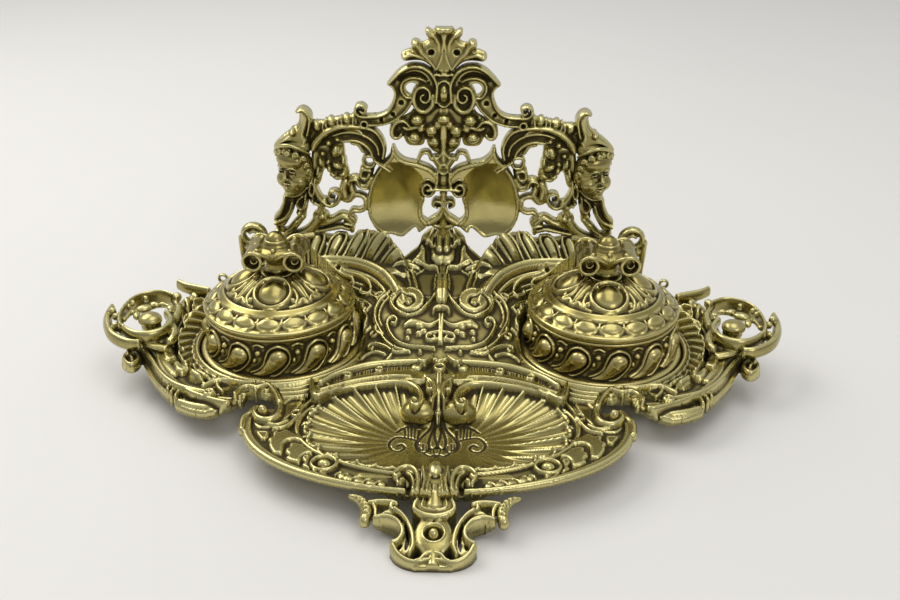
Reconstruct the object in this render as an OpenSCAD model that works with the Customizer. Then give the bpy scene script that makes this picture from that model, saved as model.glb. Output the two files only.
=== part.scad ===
// Double ink stand in cast brass: a tray with an oval shell dish, two ink pots with
// lift-off lids, side handles, and an openwork gallery across the back.
// Millimetres, +Z up, origin on the table under the middle of the stand, front towards -Y.

/* [Ink pots] */
// Distance of each pot's axis from the centre line
pot_x = 63.3; // [62.5:0.1:64]
// Distance of the pots' axes behind the origin
pot_y = 36.5; // [36:0.1:37]
// Radius of the foot ring under each pot
pot_ring_r = 32; // [31:0.1:32.4]
// Radius of the pot wall at its belly
pot_r = 30.4; // [29.5:0.1:30.8]
// Height of the pot, from the well floor to the mouth
pot_h = 19; // [18.5:0.5:20]
// Radius of the pot's mouth
mouth_r = 27.3; // [26.8:0.1:27.5]

/* [Lids] */
// Outer radius of the lid
lid_r = 29.6; // [29:0.1:30]
// Height of the lid above the pot's mouth
lid_h = 14.4; // [13:0.2:15]
// Height of the scrolled knob above the lid
knob_h = 14; // [13.5:0.5:15]

/* [Ink cups] */
// Outer radius of the glazed liner cup
cup_r = 22; // [20:0.5:23]
// Height of the liner cup
cup_h = 13.5; // [12:0.5:14]

/* [Tray] */
// Half length of the oval front dish
dish_a = 69.5; // [68:0.5:71]
// Half width of the oval front dish
dish_b = 38; // [37:0.5:38]
// Height of the well floors above the table
floor_z = 12; // [11.5:0.1:12.5]
// Outer radius of each wing's rim around its pot
wing_r = 51; // [50:0.5:52]
// Height of the gadrooned rims above the table
rim_z = 45; // [44:0.5:46]

/* [Gallery] */
// Distance of the gallery's middle plane behind the origin
gallery_y = 74.5; // [74:0.1:75]
// Height of the crest above the table
crest_z = 131.5; // [128:0.5:134]
// Thickness of the gallery plate
gallery_t = 4; // [3.5:0.1:4.5]

/* [Hidden] */
$fn = 64;
front_y = -79;
back_y = 79;
dish_y = -18;
wall = 3;
well_r = pot_ring_r + 1;
mouth_z = floor_z + pot_h;
lid_top = mouth_z + lid_h;
ledge_z = rim_z - 3;
handle_x = 119;
handle_y = 43;
handle_a = 14.5;
handle_b = 23;
handle_z = 18;
handle_t = 8;
fan_x = 43.5;
fan_y = 37.4;
fan_r = 33;
screw_r = 2;
fit = 0.1;
lid_t = 2.8;
nut_h = 2.4;
bolt_r = 1.5;
bolt_gap = 0.1;
foot_x = 66;
foot_y = 52;
foot_h = floor_z - wall;
foot_arc_r = 17;
gallery_screw_x = 30;
head_x = 60;
head_y = 76.4;
head_z = 71.5;
head_r = 8.8;
hollow_r = 60;

function oval(a, b, n = 48) = [for (i = [0:n - 1]) [a * cos(360 * i / n), b * sin(360 * i / n)]];

module both() {
    children();
    mirror([1, 0, 0]) children();
}

module at_pot(side) {
    translate([side * pot_x, pot_y, 0]) children();
}

// A flat slab between two heights, cut to a 2D outline.
module slab(z0, z1) {
    translate([0, 0, z0]) linear_extrude(z1 - z0) children();
}

// A band along an arc: radius r, half width w, from angle a0 to a1.
module band(r, w, a0, a1, steps = 14) {
    polygon(concat(
        [for (i = [0:steps]) let (a = a0 + (a1 - a0) * i / steps) (r + w) * [cos(a), sin(a)]],
        [for (i = [steps:-1:0]) let (a = a0 + (a1 - a0) * i / steps) (r - w) * [cos(a), sin(a)]]));
}

// Catmull-Rom curve through the points p, and a strip of half width w along it.
function knot(p, i) = p[max(0, min(len(p) - 1, i))];
function curve_at(a, b, c, d, t) =
    0.5 * (2 * b + (c - a) * t + (2 * a - 5 * b + 4 * c - d) * t * t + (3 * b - a - 3 * c + d) * t * t * t);
function curve(p, k = 3) = concat(
    [for (i = [0:len(p) - 2]) for (j = [0:k - 1]) curve_at(knot(p, i - 1), p[i], p[i + 1], knot(p, i + 2), j / k)],
    [p[len(p) - 1]]);
function across(c, i) = let (d = knot(c, i + 1) - knot(c, i - 1)) [-d[1], d[0]] / norm(d);

module strip(p, w) {
    c = curve(p);
    n = len(c) - 1;
    polygon(concat([for (i = [0:n]) c[i] + w * across(c, i)], [for (i = [n:-1:0]) c[i] - w * across(c, i)]));
}

// ---- tray ----
module front_dish() {
    difference() {
        union() {
            translate([0, dish_y, 0]) slab(8.5, 13.5) polygon(oval(dish_a, dish_b));
            translate([0, dish_y - 1.5, 0]) hull() {
                slab(8.6, 9.6) polygon(oval(50, 27, 36));
                slab(2.5, 3) polygon(oval(38, 17, 36));
            }
        }
        translate([0, dish_y - 1.5, 0]) hull() {
            slab(14, 14.5) polygon(oval(47, 23.8, 36));
            slab(5.5, 6) polygon(oval(35, 14, 36));
        }
    }
}

module back_arch() {
    translate([0, dish_y, 0]) slab(9, 18) difference() {
        polygon(oval(53.5, 35.5));
        polygon(oval(49, 29));
        translate([-60, -60]) square([120, 74]);
    }
}

module centre_panel() {
    translate([-22, 0, 0]) rotate([90, 0, 90])
        linear_extrude(44) polygon([[12, 9], [16, 18.5], [70, 43.5], [70, 39], [26, 16], [20, 9]]);
}

module well_seat() {
    intersection() {
        translate([pot_x, pot_y, 0]) rotate_extrude()
            polygon([[0, floor_z - wall], [36, floor_z - wall], [44, 11], [wing_r, 9.5], [wing_r, 18.5],
                     [wing_r - 2.5, 20.5], [44, 17.5], [36, floor_z], [0, floor_z]]);
        translate([16, -20, 0]) cube([110, 89, 60]);
    }
}

module fan_dish() {
    intersection() {
        translate([fan_x, fan_y, 0]) rotate_extrude($fn = 72)
            polygon([[0, 19], [20, 19], [fan_r - 4, 34], [fan_r + 3, rim_z - 3], [fan_r + 3, rim_z],
                     [fan_r + 0.5, rim_z], [fan_r - 4.5, 38], [20, 22.5], [0, 22.5]]);
        translate([7, 12, 0]) cube([60, 60, 60]);
    }
}

module rear_wall() {
    translate([43, 69.6, floor_z - wall]) cube([37, 2.6, rim_z - floor_z + wall]);
    translate([70, 56, floor_z - 2]) cube([10, 15, 10]);
    translate([77, 56, floor_z]) cube([3, 15, rim_z - floor_z]);
}

module corner_curl() {
    translate([76, 57, rim_z - 1]) rotate([90, 0, 0]) difference() {
        cylinder(h = 5, r = 6.5, center = true);
        translate([-2.2, -1, 0]) cylinder(h = 6, r = 2.6, center = true);
    }
}

module handle() {
    translate([handle_x, handle_y, 0]) slab(handle_z, handle_z + handle_t) difference() {
        polygon(oval(handle_a, handle_b, 40));
        polygon(oval(handle_a - 4, handle_b - 6, 32));
    }
    translate([handle_x - 4, handle_y - 12, handle_z + 5]) sphere(r = 5.8);
    translate([102, 30, 11]) cube([9, 30, 8.5]);
    translate([handle_x - 1, 21.5, 8.5]) cylinder(h = 10, r = 5);
    translate([104, 12, 9]) rotate([0, 0, 38]) cube([18, 6, 9]);
    translate([95, 62, 17]) cube([18, 4, 7]);
}

module ear() {
    translate([62.5, -10.5, 14.5]) sphere(r = 3);
    translate([62.5, -9.5, 9]) linear_extrude(6) band(6, 1.5, -130, 100);
}

// Openwork cartouche that carries the front of the stand: an oval boss between two C straps.
module front_foot() {
    slab(0, 5) difference() {
        intersection() {
            translate([0, front_y + foot_arc_r]) circle(r = foot_arc_r);
            translate([-15.5, front_y - 1]) square([31, 10.5]);
        }
        for (s = [-1, 1]) translate([s * 6.3, front_y + 6.6]) circle(r = 1.8);
        for (s = [-1, 1]) translate([s * 17.6, front_y + 14]) circle(r = 6.6);
    }
    slab(0, 7) translate([0, front_y + 12.5]) circle(r = 7.5);
    both() {
        slab(0, 7) strip([[12.6, front_y + 5], [10.2, front_y + 12], [10.6, front_y + 19], [15, front_y + 24.5]], 2.6);
        slab(3.5, 10) strip([[13, front_y + 22], [20, front_y + 24.5], [28, front_y + 24.5]], 2.6);
        translate([12, front_y + 22, 2]) cube([7, 9, 8]);
    }
    slab(5, 13) polygon([[-6, front_y + 19], [6, front_y + 19], [4, front_y + 29], [-4, front_y + 29]]);
}

module rear_ledge() {
    difference() {
        translate([-79, 70.5, ledge_z - 4]) cube([158, 8, 4]);
        for (x = [-gallery_screw_x, 0, gallery_screw_x])
            translate([x, gallery_y, ledge_z - 6]) cylinder(h = 8, r = screw_r + fit);
    }
    translate([-20, 67, ledge_z - 8]) cube([40, 4, 8]);
}

module base_tray() color([0.62, 0.56, 0.28]) {
    difference() {
        union() {
            front_dish();
            back_arch();
            centre_panel();
            rear_ledge();
            front_foot();
            both() {
                well_seat();
                fan_dish();
                rear_wall();
                corner_curl();
                handle();
                ear();
            }
        }
        for (s = [-1, 1]) at_pot(s) {
            translate([0, 0, floor_z]) cylinder(h = 60, r = well_r);
            translate([0, 0, -1]) cylinder(h = 30, r = screw_r + fit);
        }
        for (s = [-1, 1]) translate([s * foot_x, foot_y, foot_h - 1]) cylinder(h = wall, r = screw_r);
    }
}

// ---- gallery ----
// Right half of the plate's outline: x across, y up from the table, from the base to the crest.
plate_edge = [[69, 42], [66.5, 50], [65.5, 58], [66, 64], [68, 71], [67, 78], [62.5, 82], [59, 86], [58.6, 91],
              [57.6, 96], [54.6, 95.4], [53, 90], [51.5, 88.4], [44.6, 91.8], [37.6, 94], [36, 97.8],
              [32.6, 100], [29.4, 98.4], [30, 95], [25, 96], [21.4, 100], [19.6, 105.4], [21, 110],
              [17.6, 114.6], [11, 116.6], [16.4, 117.8], [17, 120.6], [13.8, 122], [12.8, 126], [8, 127],
              [6.6, 130.2], [1.6, crest_z]];

// Right half of the openwork.
plate_gaps = [
    [[5, 77.6], [11, 78.4], [17, 81], [20, 86.4], [23.6, 87], [28.4, 91.2], [21, 93], [17, 87.4], [9, 83.6], [7.6, 80.4]],
    [[31.6, 77.4], [33.4, 70.6], [38.4, 67.6], [42.4, 69.6], [41, 74.4], [40, 79.4], [35, 81]],
    [[50.6, 66.4], [47, 69.4], [43.6, 66.2], [45, 62.2], [49.4, 61]],
    [[57.6, 57], [52.4, 55.4], [47.6, 52.4], [51, 51], [57.4, 46.6]],
    [[38, 58.4], [43.6, 56], [44.4, 53.2], [39.6, 52.4], [37.6, 54.4]],
    [[33.4, 54], [31.8, 48], [28.6, 45], [35, 45.4], [36, 49]],
    [[10.2, 44.6], [11.4, 47], [15.4, 44.8], [14, 43.6]],
    [[3.4, 60], [4.4, 54.8], [6.6, 54.8], [6.8, 60]],
    [[11.8, 108.2], [12.2, 105.6], [15, 105.4], [15.8, 108]]];

module gallery_shape() {
    n = len(plate_edge);
    difference() {
        polygon(concat(plate_edge, [for (i = [n - 1:-1:0]) [-plate_edge[i][0], plate_edge[i][1]]]));
        for (s = [-1, 1]) for (gap = plate_gaps) polygon([for (p = gap) [s * p[0], p[1]]]);
    }
}

module back_gallery() color([0.66, 0.6, 0.3]) {
    difference() {
        union() {
            translate([0, gallery_y + gallery_t / 2, 0]) rotate([90, 0, 0]) linear_extrude(gallery_t) gallery_shape();
            both() intersection() {
                translate([head_x, head_y, head_z]) sphere(r = head_r);
                translate([head_x - 12, head_y - 12, head_z - 12]) cube([24, back_y - head_y + 12, 24]);
            }
            for (x = [-gallery_screw_x, 0, gallery_screw_x])
                translate([x, gallery_y, ledge_z]) cylinder(h = 6, r = 4);
            translate([-70, gallery_y - gallery_t / 2, ledge_z]) cube([140, gallery_t, 3]);
        }
        both() translate([18.6, gallery_y - hollow_r + 0.5, 59.8]) sphere(r = hollow_r);
        for (x = [-gallery_screw_x, 0, gallery_screw_x])
            translate([x, gallery_y, ledge_z - 1]) cylinder(h = 6, r = screw_r);
    }
}

// ---- screws ----
// A cheese-head screw pointing up, with its head's top face on z = 0.
module screw_up(r, length, head_r, head_h) {
    difference() {
        union() {
            translate([0, 0, -head_h]) cylinder(h = head_h, r = head_r);
            cylinder(h = length, r = r);
        }
        translate([-head_r - 1, -0.5, -head_h - 1]) cube([2 * head_r + 2, 1, 1.9]);
    }
}

module gallery_screws() color([0.6, 0.52, 0.24])
    for (x = [-gallery_screw_x, 0, gallery_screw_x])
        translate([x, gallery_y, ledge_z - 4]) screw_up(screw_r - fit / 2, 8, 3.3, 2);

module foot_screws() color([0.6, 0.52, 0.24])
    for (s = [-1, 1])
        translate([s * foot_x, foot_y, 3]) screw_up(screw_r - fit / 2, foot_h - 1.5, 3.4, 2);

// ---- pots ----
module pot(side) color([0.55, 0.48, 0.2]) at_pot(side) {
    difference() {
        translate([0, 0, floor_z]) rotate_extrude($fn = 96)
            polygon([[0, 0], [pot_ring_r, 0], [pot_ring_r, 2.6], [pot_ring_r - 1.6, 3.6], [pot_r, 8],
                     [pot_r - 0.4, 13], [pot_r - 2, 17.5], [28.9, pot_h - 1.5], [28.9, pot_h],
                     [mouth_r, pot_h], [mouth_r, 6], [mouth_r - 2, 4], [0, 4]]);
        translate([0, 0, floor_z - 1]) cylinder(h = 4, r = screw_r);
    }
}

module pot_washer(side) color([0.7, 0.62, 0.3]) at_pot(side)
    translate([0, 0, floor_z - wall - 0.8]) difference() {
        cylinder(h = 0.8, r = 5.5);
        translate([0, 0, -1]) cylinder(h = 3, r = screw_r + fit);
    }

module pot_screw(side) color([0.6, 0.52, 0.24]) at_pot(side)
    translate([0, 0, floor_z - wall - 0.8]) screw_up(screw_r - fit / 2, wall + 3.4, 4, 2.2);

// ---- liner cups ----
module ink_cup(side) color([0.92, 0.92, 0.88]) at_pot(side)
    translate([0, 0, floor_z + 4]) rotate_extrude()
        polygon([[0, 0], [cup_r - 4, 0], [cup_r - 2, 1.5], [cup_r - 1.5, cup_h - 3], [cup_r + 1.5, cup_h - 2.5],
                 [cup_r + 1.5, cup_h], [cup_r - 5.5, cup_h], [cup_r - 4.5, 3.5], [cup_r - 7, 2.5], [0, 2.5]]);

// ---- lids ----
module lid(side) color([0.64, 0.58, 0.3]) at_pot(side)
    translate([0, 0, mouth_z]) rotate_extrude($fn = 96)
        polygon([[bolt_r + 0.2, lid_h], [6.5, lid_h], [9, lid_h - 0.6], [14, lid_h - 2.6], [18, lid_h - 4.8],
                 [21, lid_h - 6.8], [24.6, lid_h - 9.2], [28.3, 3.2], [lid_r, 2.6], [lid_r, 1.4], [28.6, 0],
                 [mouth_r - 0.4, 0], [mouth_r - 0.4, -3.4], [mouth_r - 1.9, -3.4], [mouth_r - 1.9, 1],
                 [23, lid_h - 11], [14, lid_h - 5.4], [7, lid_h - lid_t], [bolt_r + 0.2, lid_h - lid_t]]);

module knob(side) color([0.6, 0.54, 0.26]) at_pot(side)
    translate([0, 0, lid_top]) difference() {
        union() {
            rotate_extrude() polygon([[0, 0], [6, 0], [6, 0.8], [3.6, 1.8], [3.2, 5], [4.5, 6],
                                      [8, 8], [8, 11.5], [4, knob_h], [0, knob_h]]);
            for (a = [45:90:315]) rotate(a) translate([9.6, 0, 8.2]) rotate([90, 0, 0])
                cylinder(h = 6, r = 3.5, center = true);
        }
        translate([0, 0, -1]) cylinder(h = knob_h + 2, r = bolt_r + bolt_gap);
    }

module knob_screw(side) color([0.66, 0.6, 0.32]) at_pot(side)
    translate([0, 0, lid_top + knob_h]) {
        difference() {
            intersection() {
                translate([0, 0, -1.2]) sphere(r = 4);
                cylinder(h = 4, r = 5);
            }
            rotate(-25) translate([-6, -0.35, 2.2]) cube([12, 0.7, 2]);
        }
        translate([0, 0, -knob_h - 6]) cylinder(h = knob_h + 6.5, r = bolt_r);
    }

module knob_nut(side) color([0.6, 0.52, 0.24]) at_pot(side)
    translate([0, 0, lid_top - lid_t - nut_h]) difference() {
        cylinder(h = nut_h, r = 3.6, $fn = 6);
        translate([0, 0, -1]) cylinder(h = 5, r = bolt_r + bolt_gap);
    }

// ---- feet ----
module foot(side) color([0.6, 0.54, 0.26])
    translate([side * foot_x, foot_y, 0]) difference() {
        rotate_extrude() polygon([[0, 0], [6, 0], [7.8, 1.6], [8, 3.4], [6.6, 5.4], [5, 6.4], [6.4, 7.6], [6.6, foot_h], [0, foot_h]]);
        translate([0, 0, -1]) cylinder(h = foot_h + 2, r = screw_r + fit);
        translate([0, 0, -1]) cylinder(h = 4, r = 4);
    }

base_tray();
back_gallery();
gallery_screws();
pot(-1);  // left_pot
pot(1);  // right_pot
ink_cup(-1);  // left_ink_cup
ink_cup(1);  // right_ink_cup
lid(-1);  // left_lid
lid(1);  // right_lid
knob(-1);  // left_knob
knob(1);  // right_knob
knob_screw(-1);  // left_knob_screw
knob_screw(1);  // right_knob_screw
knob_nut(-1);  // left_knob_nut
knob_nut(1);  // right_knob_nut
pot_screw(-1);  // left_pot_screw
pot_screw(1);  // right_pot_screw
pot_washer(-1);  // left_pot_washer
pot_washer(1);  // right_pot_washer
foot(-1);  // left_foot
foot(1);  // right_foot
foot_screws();
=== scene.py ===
# Double brass ink stand: the visible castings are built here as relief meshes around the CAD frame.
# Lengths below are millimetres in the part's own frame; mesh_piece() turns them into metres.
# The outlines of the tray's and the gallery's relief were picked by eye on the photo and turned into
# millimetres by a separate program with the fitted camera. They aren't worked out from dimensions.
import math

import bpy
import numpy as np
from mathutils import Matrix, Vector


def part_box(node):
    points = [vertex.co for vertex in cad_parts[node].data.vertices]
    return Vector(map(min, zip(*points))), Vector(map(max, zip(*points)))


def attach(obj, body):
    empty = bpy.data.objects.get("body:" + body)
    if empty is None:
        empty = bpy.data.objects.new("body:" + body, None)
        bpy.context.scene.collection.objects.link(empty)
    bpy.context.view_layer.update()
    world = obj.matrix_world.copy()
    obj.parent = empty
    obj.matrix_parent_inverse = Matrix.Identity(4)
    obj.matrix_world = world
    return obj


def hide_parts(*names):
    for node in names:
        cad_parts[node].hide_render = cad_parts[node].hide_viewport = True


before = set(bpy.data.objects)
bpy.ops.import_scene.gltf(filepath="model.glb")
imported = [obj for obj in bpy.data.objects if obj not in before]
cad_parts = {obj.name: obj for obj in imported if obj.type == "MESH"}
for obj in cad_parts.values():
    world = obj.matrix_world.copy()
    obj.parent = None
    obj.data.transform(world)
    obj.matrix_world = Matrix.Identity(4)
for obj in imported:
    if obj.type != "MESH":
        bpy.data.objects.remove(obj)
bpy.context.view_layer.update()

MM = 0.001


def node_box(name):
    low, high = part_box(name)
    return np.array(low) / MM, np.array(high) / MM


# ---------------------------------------------------------------- places taken from the CAD frame
pot_low, pot_high = node_box("right_pot")
POT_X = (pot_low[0] + pot_high[0]) / 2
POT_Y = (pot_low[1] + pot_high[1]) / 2
FLOOR_Z = pot_low[2]
MOUTH_Z = pot_high[2]
LID_TOP = node_box("right_lid")[1][2]
KNOB_TOP = node_box("right_knob")[1][2]
CREST_Z = node_box("back_gallery")[1][2]
GALLERY_Y = 74.5
FRONT_Y = node_box("base_tray")[0][1]


# ---------------------------------------------------------------- small mesh and curve tools
def cell_faces(nu, nv, wrap_u=False, wrap_v=False):
    """Quads of an nu by nv grid of vertices numbered u * nv + v."""
    u = np.arange(nu if wrap_u else nu - 1)
    v = np.arange(nv if wrap_v else nv - 1)
    uu, vv = np.meshgrid(u, v, indexing="ij")
    un, vn = (uu + 1) % nu, (vv + 1) % nv
    quads = np.stack([uu * nv + vv, un * nv + vv, un * nv + vn, uu * nv + vn], -1)
    return quads.reshape(-1, 4)


def smooth_line(points, steps=6):
    """Catmull-Rom curve through rows of points, any number of columns."""
    p = np.asarray(points, float)
    ext = np.vstack([2 * p[0] - p[1], p, 2 * p[-1] - p[-2]])
    out = []
    for i in range(len(p) - 1):
        a, b, c, d = ext[i : i + 4]
        t = (np.arange(steps) / steps)[:, None]
        curve = 2 * b + (c - a) * t + (2 * a - 5 * b + 4 * c - d) * t**2 + (3 * b - a - 3 * c + d) * t**3
        out.append(0.5 * curve)
    return np.vstack(out + [p[-1:]])


def arc(cx, cy, rx, ry, start, end, n=24):
    """Points along an oval arc, angles in degrees."""
    a = np.radians(np.linspace(start, end, n))
    return np.stack([cx + rx * np.cos(a), cy + ry * np.sin(a)], -1)


def ramp(x, low, high):
    t = np.clip((x - low) / (high - low), 0, 1)
    return t * t * (3 - 2 * t)


def bump(x, centre, half):
    """1 at the centre, 0 beyond half a width away, rounded."""
    return np.sqrt(np.clip(1 - ((x - centre) / half) ** 2, 0, 1))


def paint_cavity(mesh, low):
    """Stores how far each vertex lies below (+) or above (-) its smoothed neighbourhood, in millimetres."""
    n = len(mesh.vertices)
    co = np.empty(n * 3)
    mesh.vertices.foreach_get("co", co)
    co = co.reshape(-1, 3) / MM
    no = np.empty(n * 3)
    mesh.vertices.foreach_get("normal", no)
    no = no.reshape(-1, 3)
    ne = len(mesh.edges)
    ev = np.empty(ne * 2, np.int64)
    mesh.edges.foreach_get("vertices", ev)
    ev = ev.reshape(-1, 2)
    src = np.concatenate([ev[:, 0], ev[:, 1]])
    dst = np.concatenate([ev[:, 1], ev[:, 0]])
    deg = np.maximum(np.bincount(dst, minlength=n), 1)[:, None]
    s = co.copy()
    fine = None
    for step in range(14):
        s = np.stack([np.bincount(dst, s[src, k], n) for k in range(3)], -1) / deg
        if step == 3:
            fine = s.copy()
    for name, smoothed in (("cavity", s), ("fine", fine)):
        value = ((smoothed - co) * no).sum(1)
        # low adds given tones to the cavity value: the darker ground and the dark-filled engraved lines of the
        # reliefs, and the painted shade on the putto's face.
        if name == "cavity" and low is not None:
            value = value + low
        layer = mesh.attributes.new(name, "FLOAT", "POINT")
        layer.data.foreach_set("value", np.clip(value, -2, 2).astype(np.float32))


def mesh_piece(name, verts, faces, body, material, slot, replaces=(), low=None):
    """A smooth closed mesh from millimetre vertices and rows of quads or triangles."""
    mesh = bpy.data.meshes.new(name)
    verts = np.asarray(verts, float) * MM
    mesh.vertices.add(len(verts))
    mesh.vertices.foreach_set("co", verts.ravel())
    groups = [np.asarray(f, np.int64) for f in (faces if isinstance(faces, list) else [faces]) if len(f)]
    loops = np.concatenate([g.ravel() for g in groups])
    sizes = np.concatenate([np.full(len(g), g.shape[1]) for g in groups])
    mesh.loops.add(len(loops))
    mesh.loops.foreach_set("vertex_index", loops)
    mesh.polygons.add(len(sizes))
    mesh.polygons.foreach_set("loop_start", np.concatenate([[0], np.cumsum(sizes)[:-1]]))
    mesh.polygons.foreach_set("loop_total", sizes)
    mesh.update(calc_edges=True)
    mesh.validate()
    mesh.shade_smooth()
    obj = bpy.data.objects.new(name, mesh)
    bpy.context.scene.collection.objects.link(obj)
    paint_cavity(mesh, low)
    mesh.materials.append(material)
    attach(obj, body)
    if replaces:
        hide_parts(*replaces)
    return obj


# ---------------------------------------------------------------- relief plates
class Relief:
    """Relief seen square on: a height and an outline distance (negative inside) on a regular grid."""

    def __init__(self, u0, u1, v0, v1, cell, base=0.0):
        self.cell = cell
        self.u = np.arange(u0, u1 + cell / 2, cell)
        self.v = np.arange(v0, v1 + cell / 2, cell)
        self.U, self.V = np.meshgrid(self.u, self.v, indexing="ij")
        self.B = np.zeros_like(self.U) + base
        self.H = self.B.copy()
        self.S = np.full_like(self.U, 9.0)
        self.twin = False
        # how far above its ground the relief reads as ground, and how dark that is
        self.depth, self.tone = 0.5, 0.2
        self.ink = np.zeros_like(self.U)  # dark filling of the engraved lines
        self.low = None

    def window(self, low, high, pad):
        i0, i1 = np.searchsorted(self.u, [low[0] - pad, high[0] + pad])
        j0, j1 = np.searchsorted(self.v, [low[1] - pad, high[1] + pad])
        return slice(max(i0 - 1, 0), i1 + 1), slice(max(j0 - 1, 0), j1 + 1)

    def near(self, points, pad):
        """Distance to a polyline, and the position along it (0 to 1), inside the window round it."""
        w = self.window(points[:, :2].min(0), points[:, :2].max(0), pad)
        U, V = self.U[w], self.V[w]
        best = np.full(U.shape, 1e9)
        along = np.zeros(U.shape)
        side = np.zeros(U.shape)
        n = len(points) - 1
        for i in range(n):
            a, b = points[i, :2], points[i + 1, :2]
            e = b - a
            length2 = max(e @ e, 1e-9)
            t = np.clip(((U - a[0]) * e[0] + (V - a[1]) * e[1]) / length2, 0, 1)
            du, dv = U - a[0] - t * e[0], V - a[1] - t * e[1]
            d = np.hypot(du, dv)
            hit = d < best
            best = np.where(hit, d, best)
            along = np.where(hit, (i + t) / n, along)
            side = np.where(hit, np.sign(e[0] * dv - e[1] * du), side)
        return w, best, along, side

    def stroke(self, points, width, height, kind="round", cut=True, steps=5, base=None, raw=False):
        """A raised band. width is the half width and height the rise, each one number or a list along it."""
        p = np.asarray(points, float) if raw else smooth_line(points, steps)
        flip = 1
        if self.twin:
            self.twin = False
            self.stroke(p, width, height, kind, cut, base=base, raw=True)
            self.twin = True
            p, flip = p * np.array([-1, 1]), -1
        width = np.atleast_1d(np.asarray(width, float))
        height = np.atleast_1d(np.asarray(height, float))
        w, d, t, side = self.near(p, width.max() + 1)
        wid = np.interp(t, np.linspace(0, 1, len(width)), width)
        hgt = np.interp(t, np.linspace(0, 1, len(height)), height)
        q = d / np.maximum(wid, 1e-6)
        inside = q < 1
        if kind == "round":
            z = hgt * np.sqrt(np.clip(1 - q**2, 0, 1))
        elif kind == "strap":  # a flat band with a raised lip on both edges
            z = hgt * (0.62 * ramp(1 - q, 0, 0.16) + 0.38 * bump(q, 0.8, 0.24))
        elif kind == "fluted":  # one rounded lip, falling away in a hollow to the other side
            s = q * side * flip
            z = hgt * (0.45 * ramp(1 - q, 0, 0.15) + 0.55 * bump(s, 0.7, 0.35) + 0.2 * bump(s, -0.8, 0.25))
        else:  # "flat"
            z = hgt * ramp(1 - q, 0, 0.25)
        B = self.B[w] if base is None else base
        self.H[w] = np.where(inside, np.maximum(self.H[w], B + z), self.H[w])
        if cut:
            self.S[w] = np.minimum(self.S[w], d - wid)

    def dome(self, cu, cv, ru, rv, height, angle=0.0, cut=True, power=0.5, base=None):
        """An oval dome; power 0.5 is round and smaller is flatter."""
        if self.twin:
            self.twin = False
            self.dome(cu, cv, ru, rv, height, angle, cut, power, base)
            self.twin = True
            cu, angle = -cu, -angle
        r = max(ru, rv)
        w = self.window((cu - r, cv - r), (cu + r, cv + r), 0.5)
        a = math.radians(angle)
        du, dv = self.U[w] - cu, self.V[w] - cv
        x, y = du * math.cos(a) + dv * math.sin(a), -du * math.sin(a) + dv * math.cos(a)
        q = np.hypot(x / ru, y / rv)
        z = height * np.clip(1 - q**2, 0, 1) ** power
        B = self.B[w] if base is None else base
        self.H[w] = np.where(q < 1, np.maximum(self.H[w], B + z), self.H[w])
        if cut:
            self.S[w] = np.minimum(self.S[w], (q - 1) * min(ru, rv))

    def groove(self, points, width, depth, steps=5, raw=False, ink=0.0):
        p = np.asarray(points, float) if raw else smooth_line(points, steps)
        if self.twin:
            self.twin = False
            self.groove(p, width, depth, raw=True, ink=ink)
            self.twin = True
            p = p * np.array([-1, 1])
        w, d, _, _ = self.near(p, width + 1)
        self.H[w] -= depth * np.sqrt(np.clip(1 - (d / width) ** 2, 0, 1))
        self.ink[w] = np.maximum(self.ink[w], ink * ramp(d, 1.3 * width, 0.7 * width))

    def pit(self, cu, cv, r, depth):
        if self.twin:
            self.twin = False
            self.pit(cu, cv, r, depth)
            self.twin = True
            cu = -cu
        w = self.window((cu - r, cv - r), (cu + r, cv + r), 0.5)
        q = np.hypot(self.U[w] - cu, self.V[w] - cv) / r
        self.H[w] -= depth * ramp(1 - q, 0, 0.5)

    def loop(self, points, steps=5, smooth=True):
        """Distance to a closed outline, negative inside it, in the window round it."""
        p = np.asarray(points, float)
        p = np.vstack([p, p[:1]])
        if smooth:
            p = smooth_line(np.vstack([p[-2], p, p[1]]), steps)[steps:-steps]
        w, d, _, _ = self.near(p, 2.5)
        U, V = self.U[w], self.V[w]
        inside = np.zeros(U.shape, bool)
        for (ax, ay), (bx, by) in zip(p[:-1], p[1:]):
            if ay != by:
                inside ^= ((V < ay) != (V < by)) & (U < ax + (V - ay) * (bx - ax) / (by - ay))
        return w, np.where(inside, -d, d)

    def patch(self, points, height, edge=1.0, lip=0.0, cut=True, base=None, smooth=True, power=1.0):
        """A raised plate with a rounded edge; lip adds a raised line along its outline."""
        if self.twin:
            self.twin = False
            self.patch(points, height, edge, lip, cut, base, smooth, power)
            self.twin = True
            points = np.asarray(points, float) * np.array([-1, 1])
        w, s = self.loop(points, smooth=smooth)
        z = height * ramp(-s, 0, edge) ** power + lip * bump(-s, 0.5, 0.45)
        B = self.B[w] if base is None else base
        self.H[w] = np.where(s < 0, np.maximum(self.H[w], B + z), self.H[w])
        if cut:
            self.S[w] = np.minimum(self.S[w], s)

    def carve(self, points, smooth=True):
        """An opening through the plate."""
        if self.twin:
            self.twin = False
            self.carve(points, smooth)
            self.twin = True
            points = np.asarray(points, float) * np.array([-1, 1])
        w, s = self.loop(points, smooth=smooth)
        self.S[w] = np.maximum(self.S[w], -s)

    def sink(self, points, depth, edge=0.6, smooth=True):
        """A recess with a soft edge."""
        if self.twin:
            self.twin = False
            self.sink(points, depth, edge, smooth)
            self.twin = True
            points = np.asarray(points, float) * np.array([-1, 1])
        w, s = self.loop(points, smooth=smooth)
        self.H[w] -= depth * ramp(-s, 0, edge)

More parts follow.
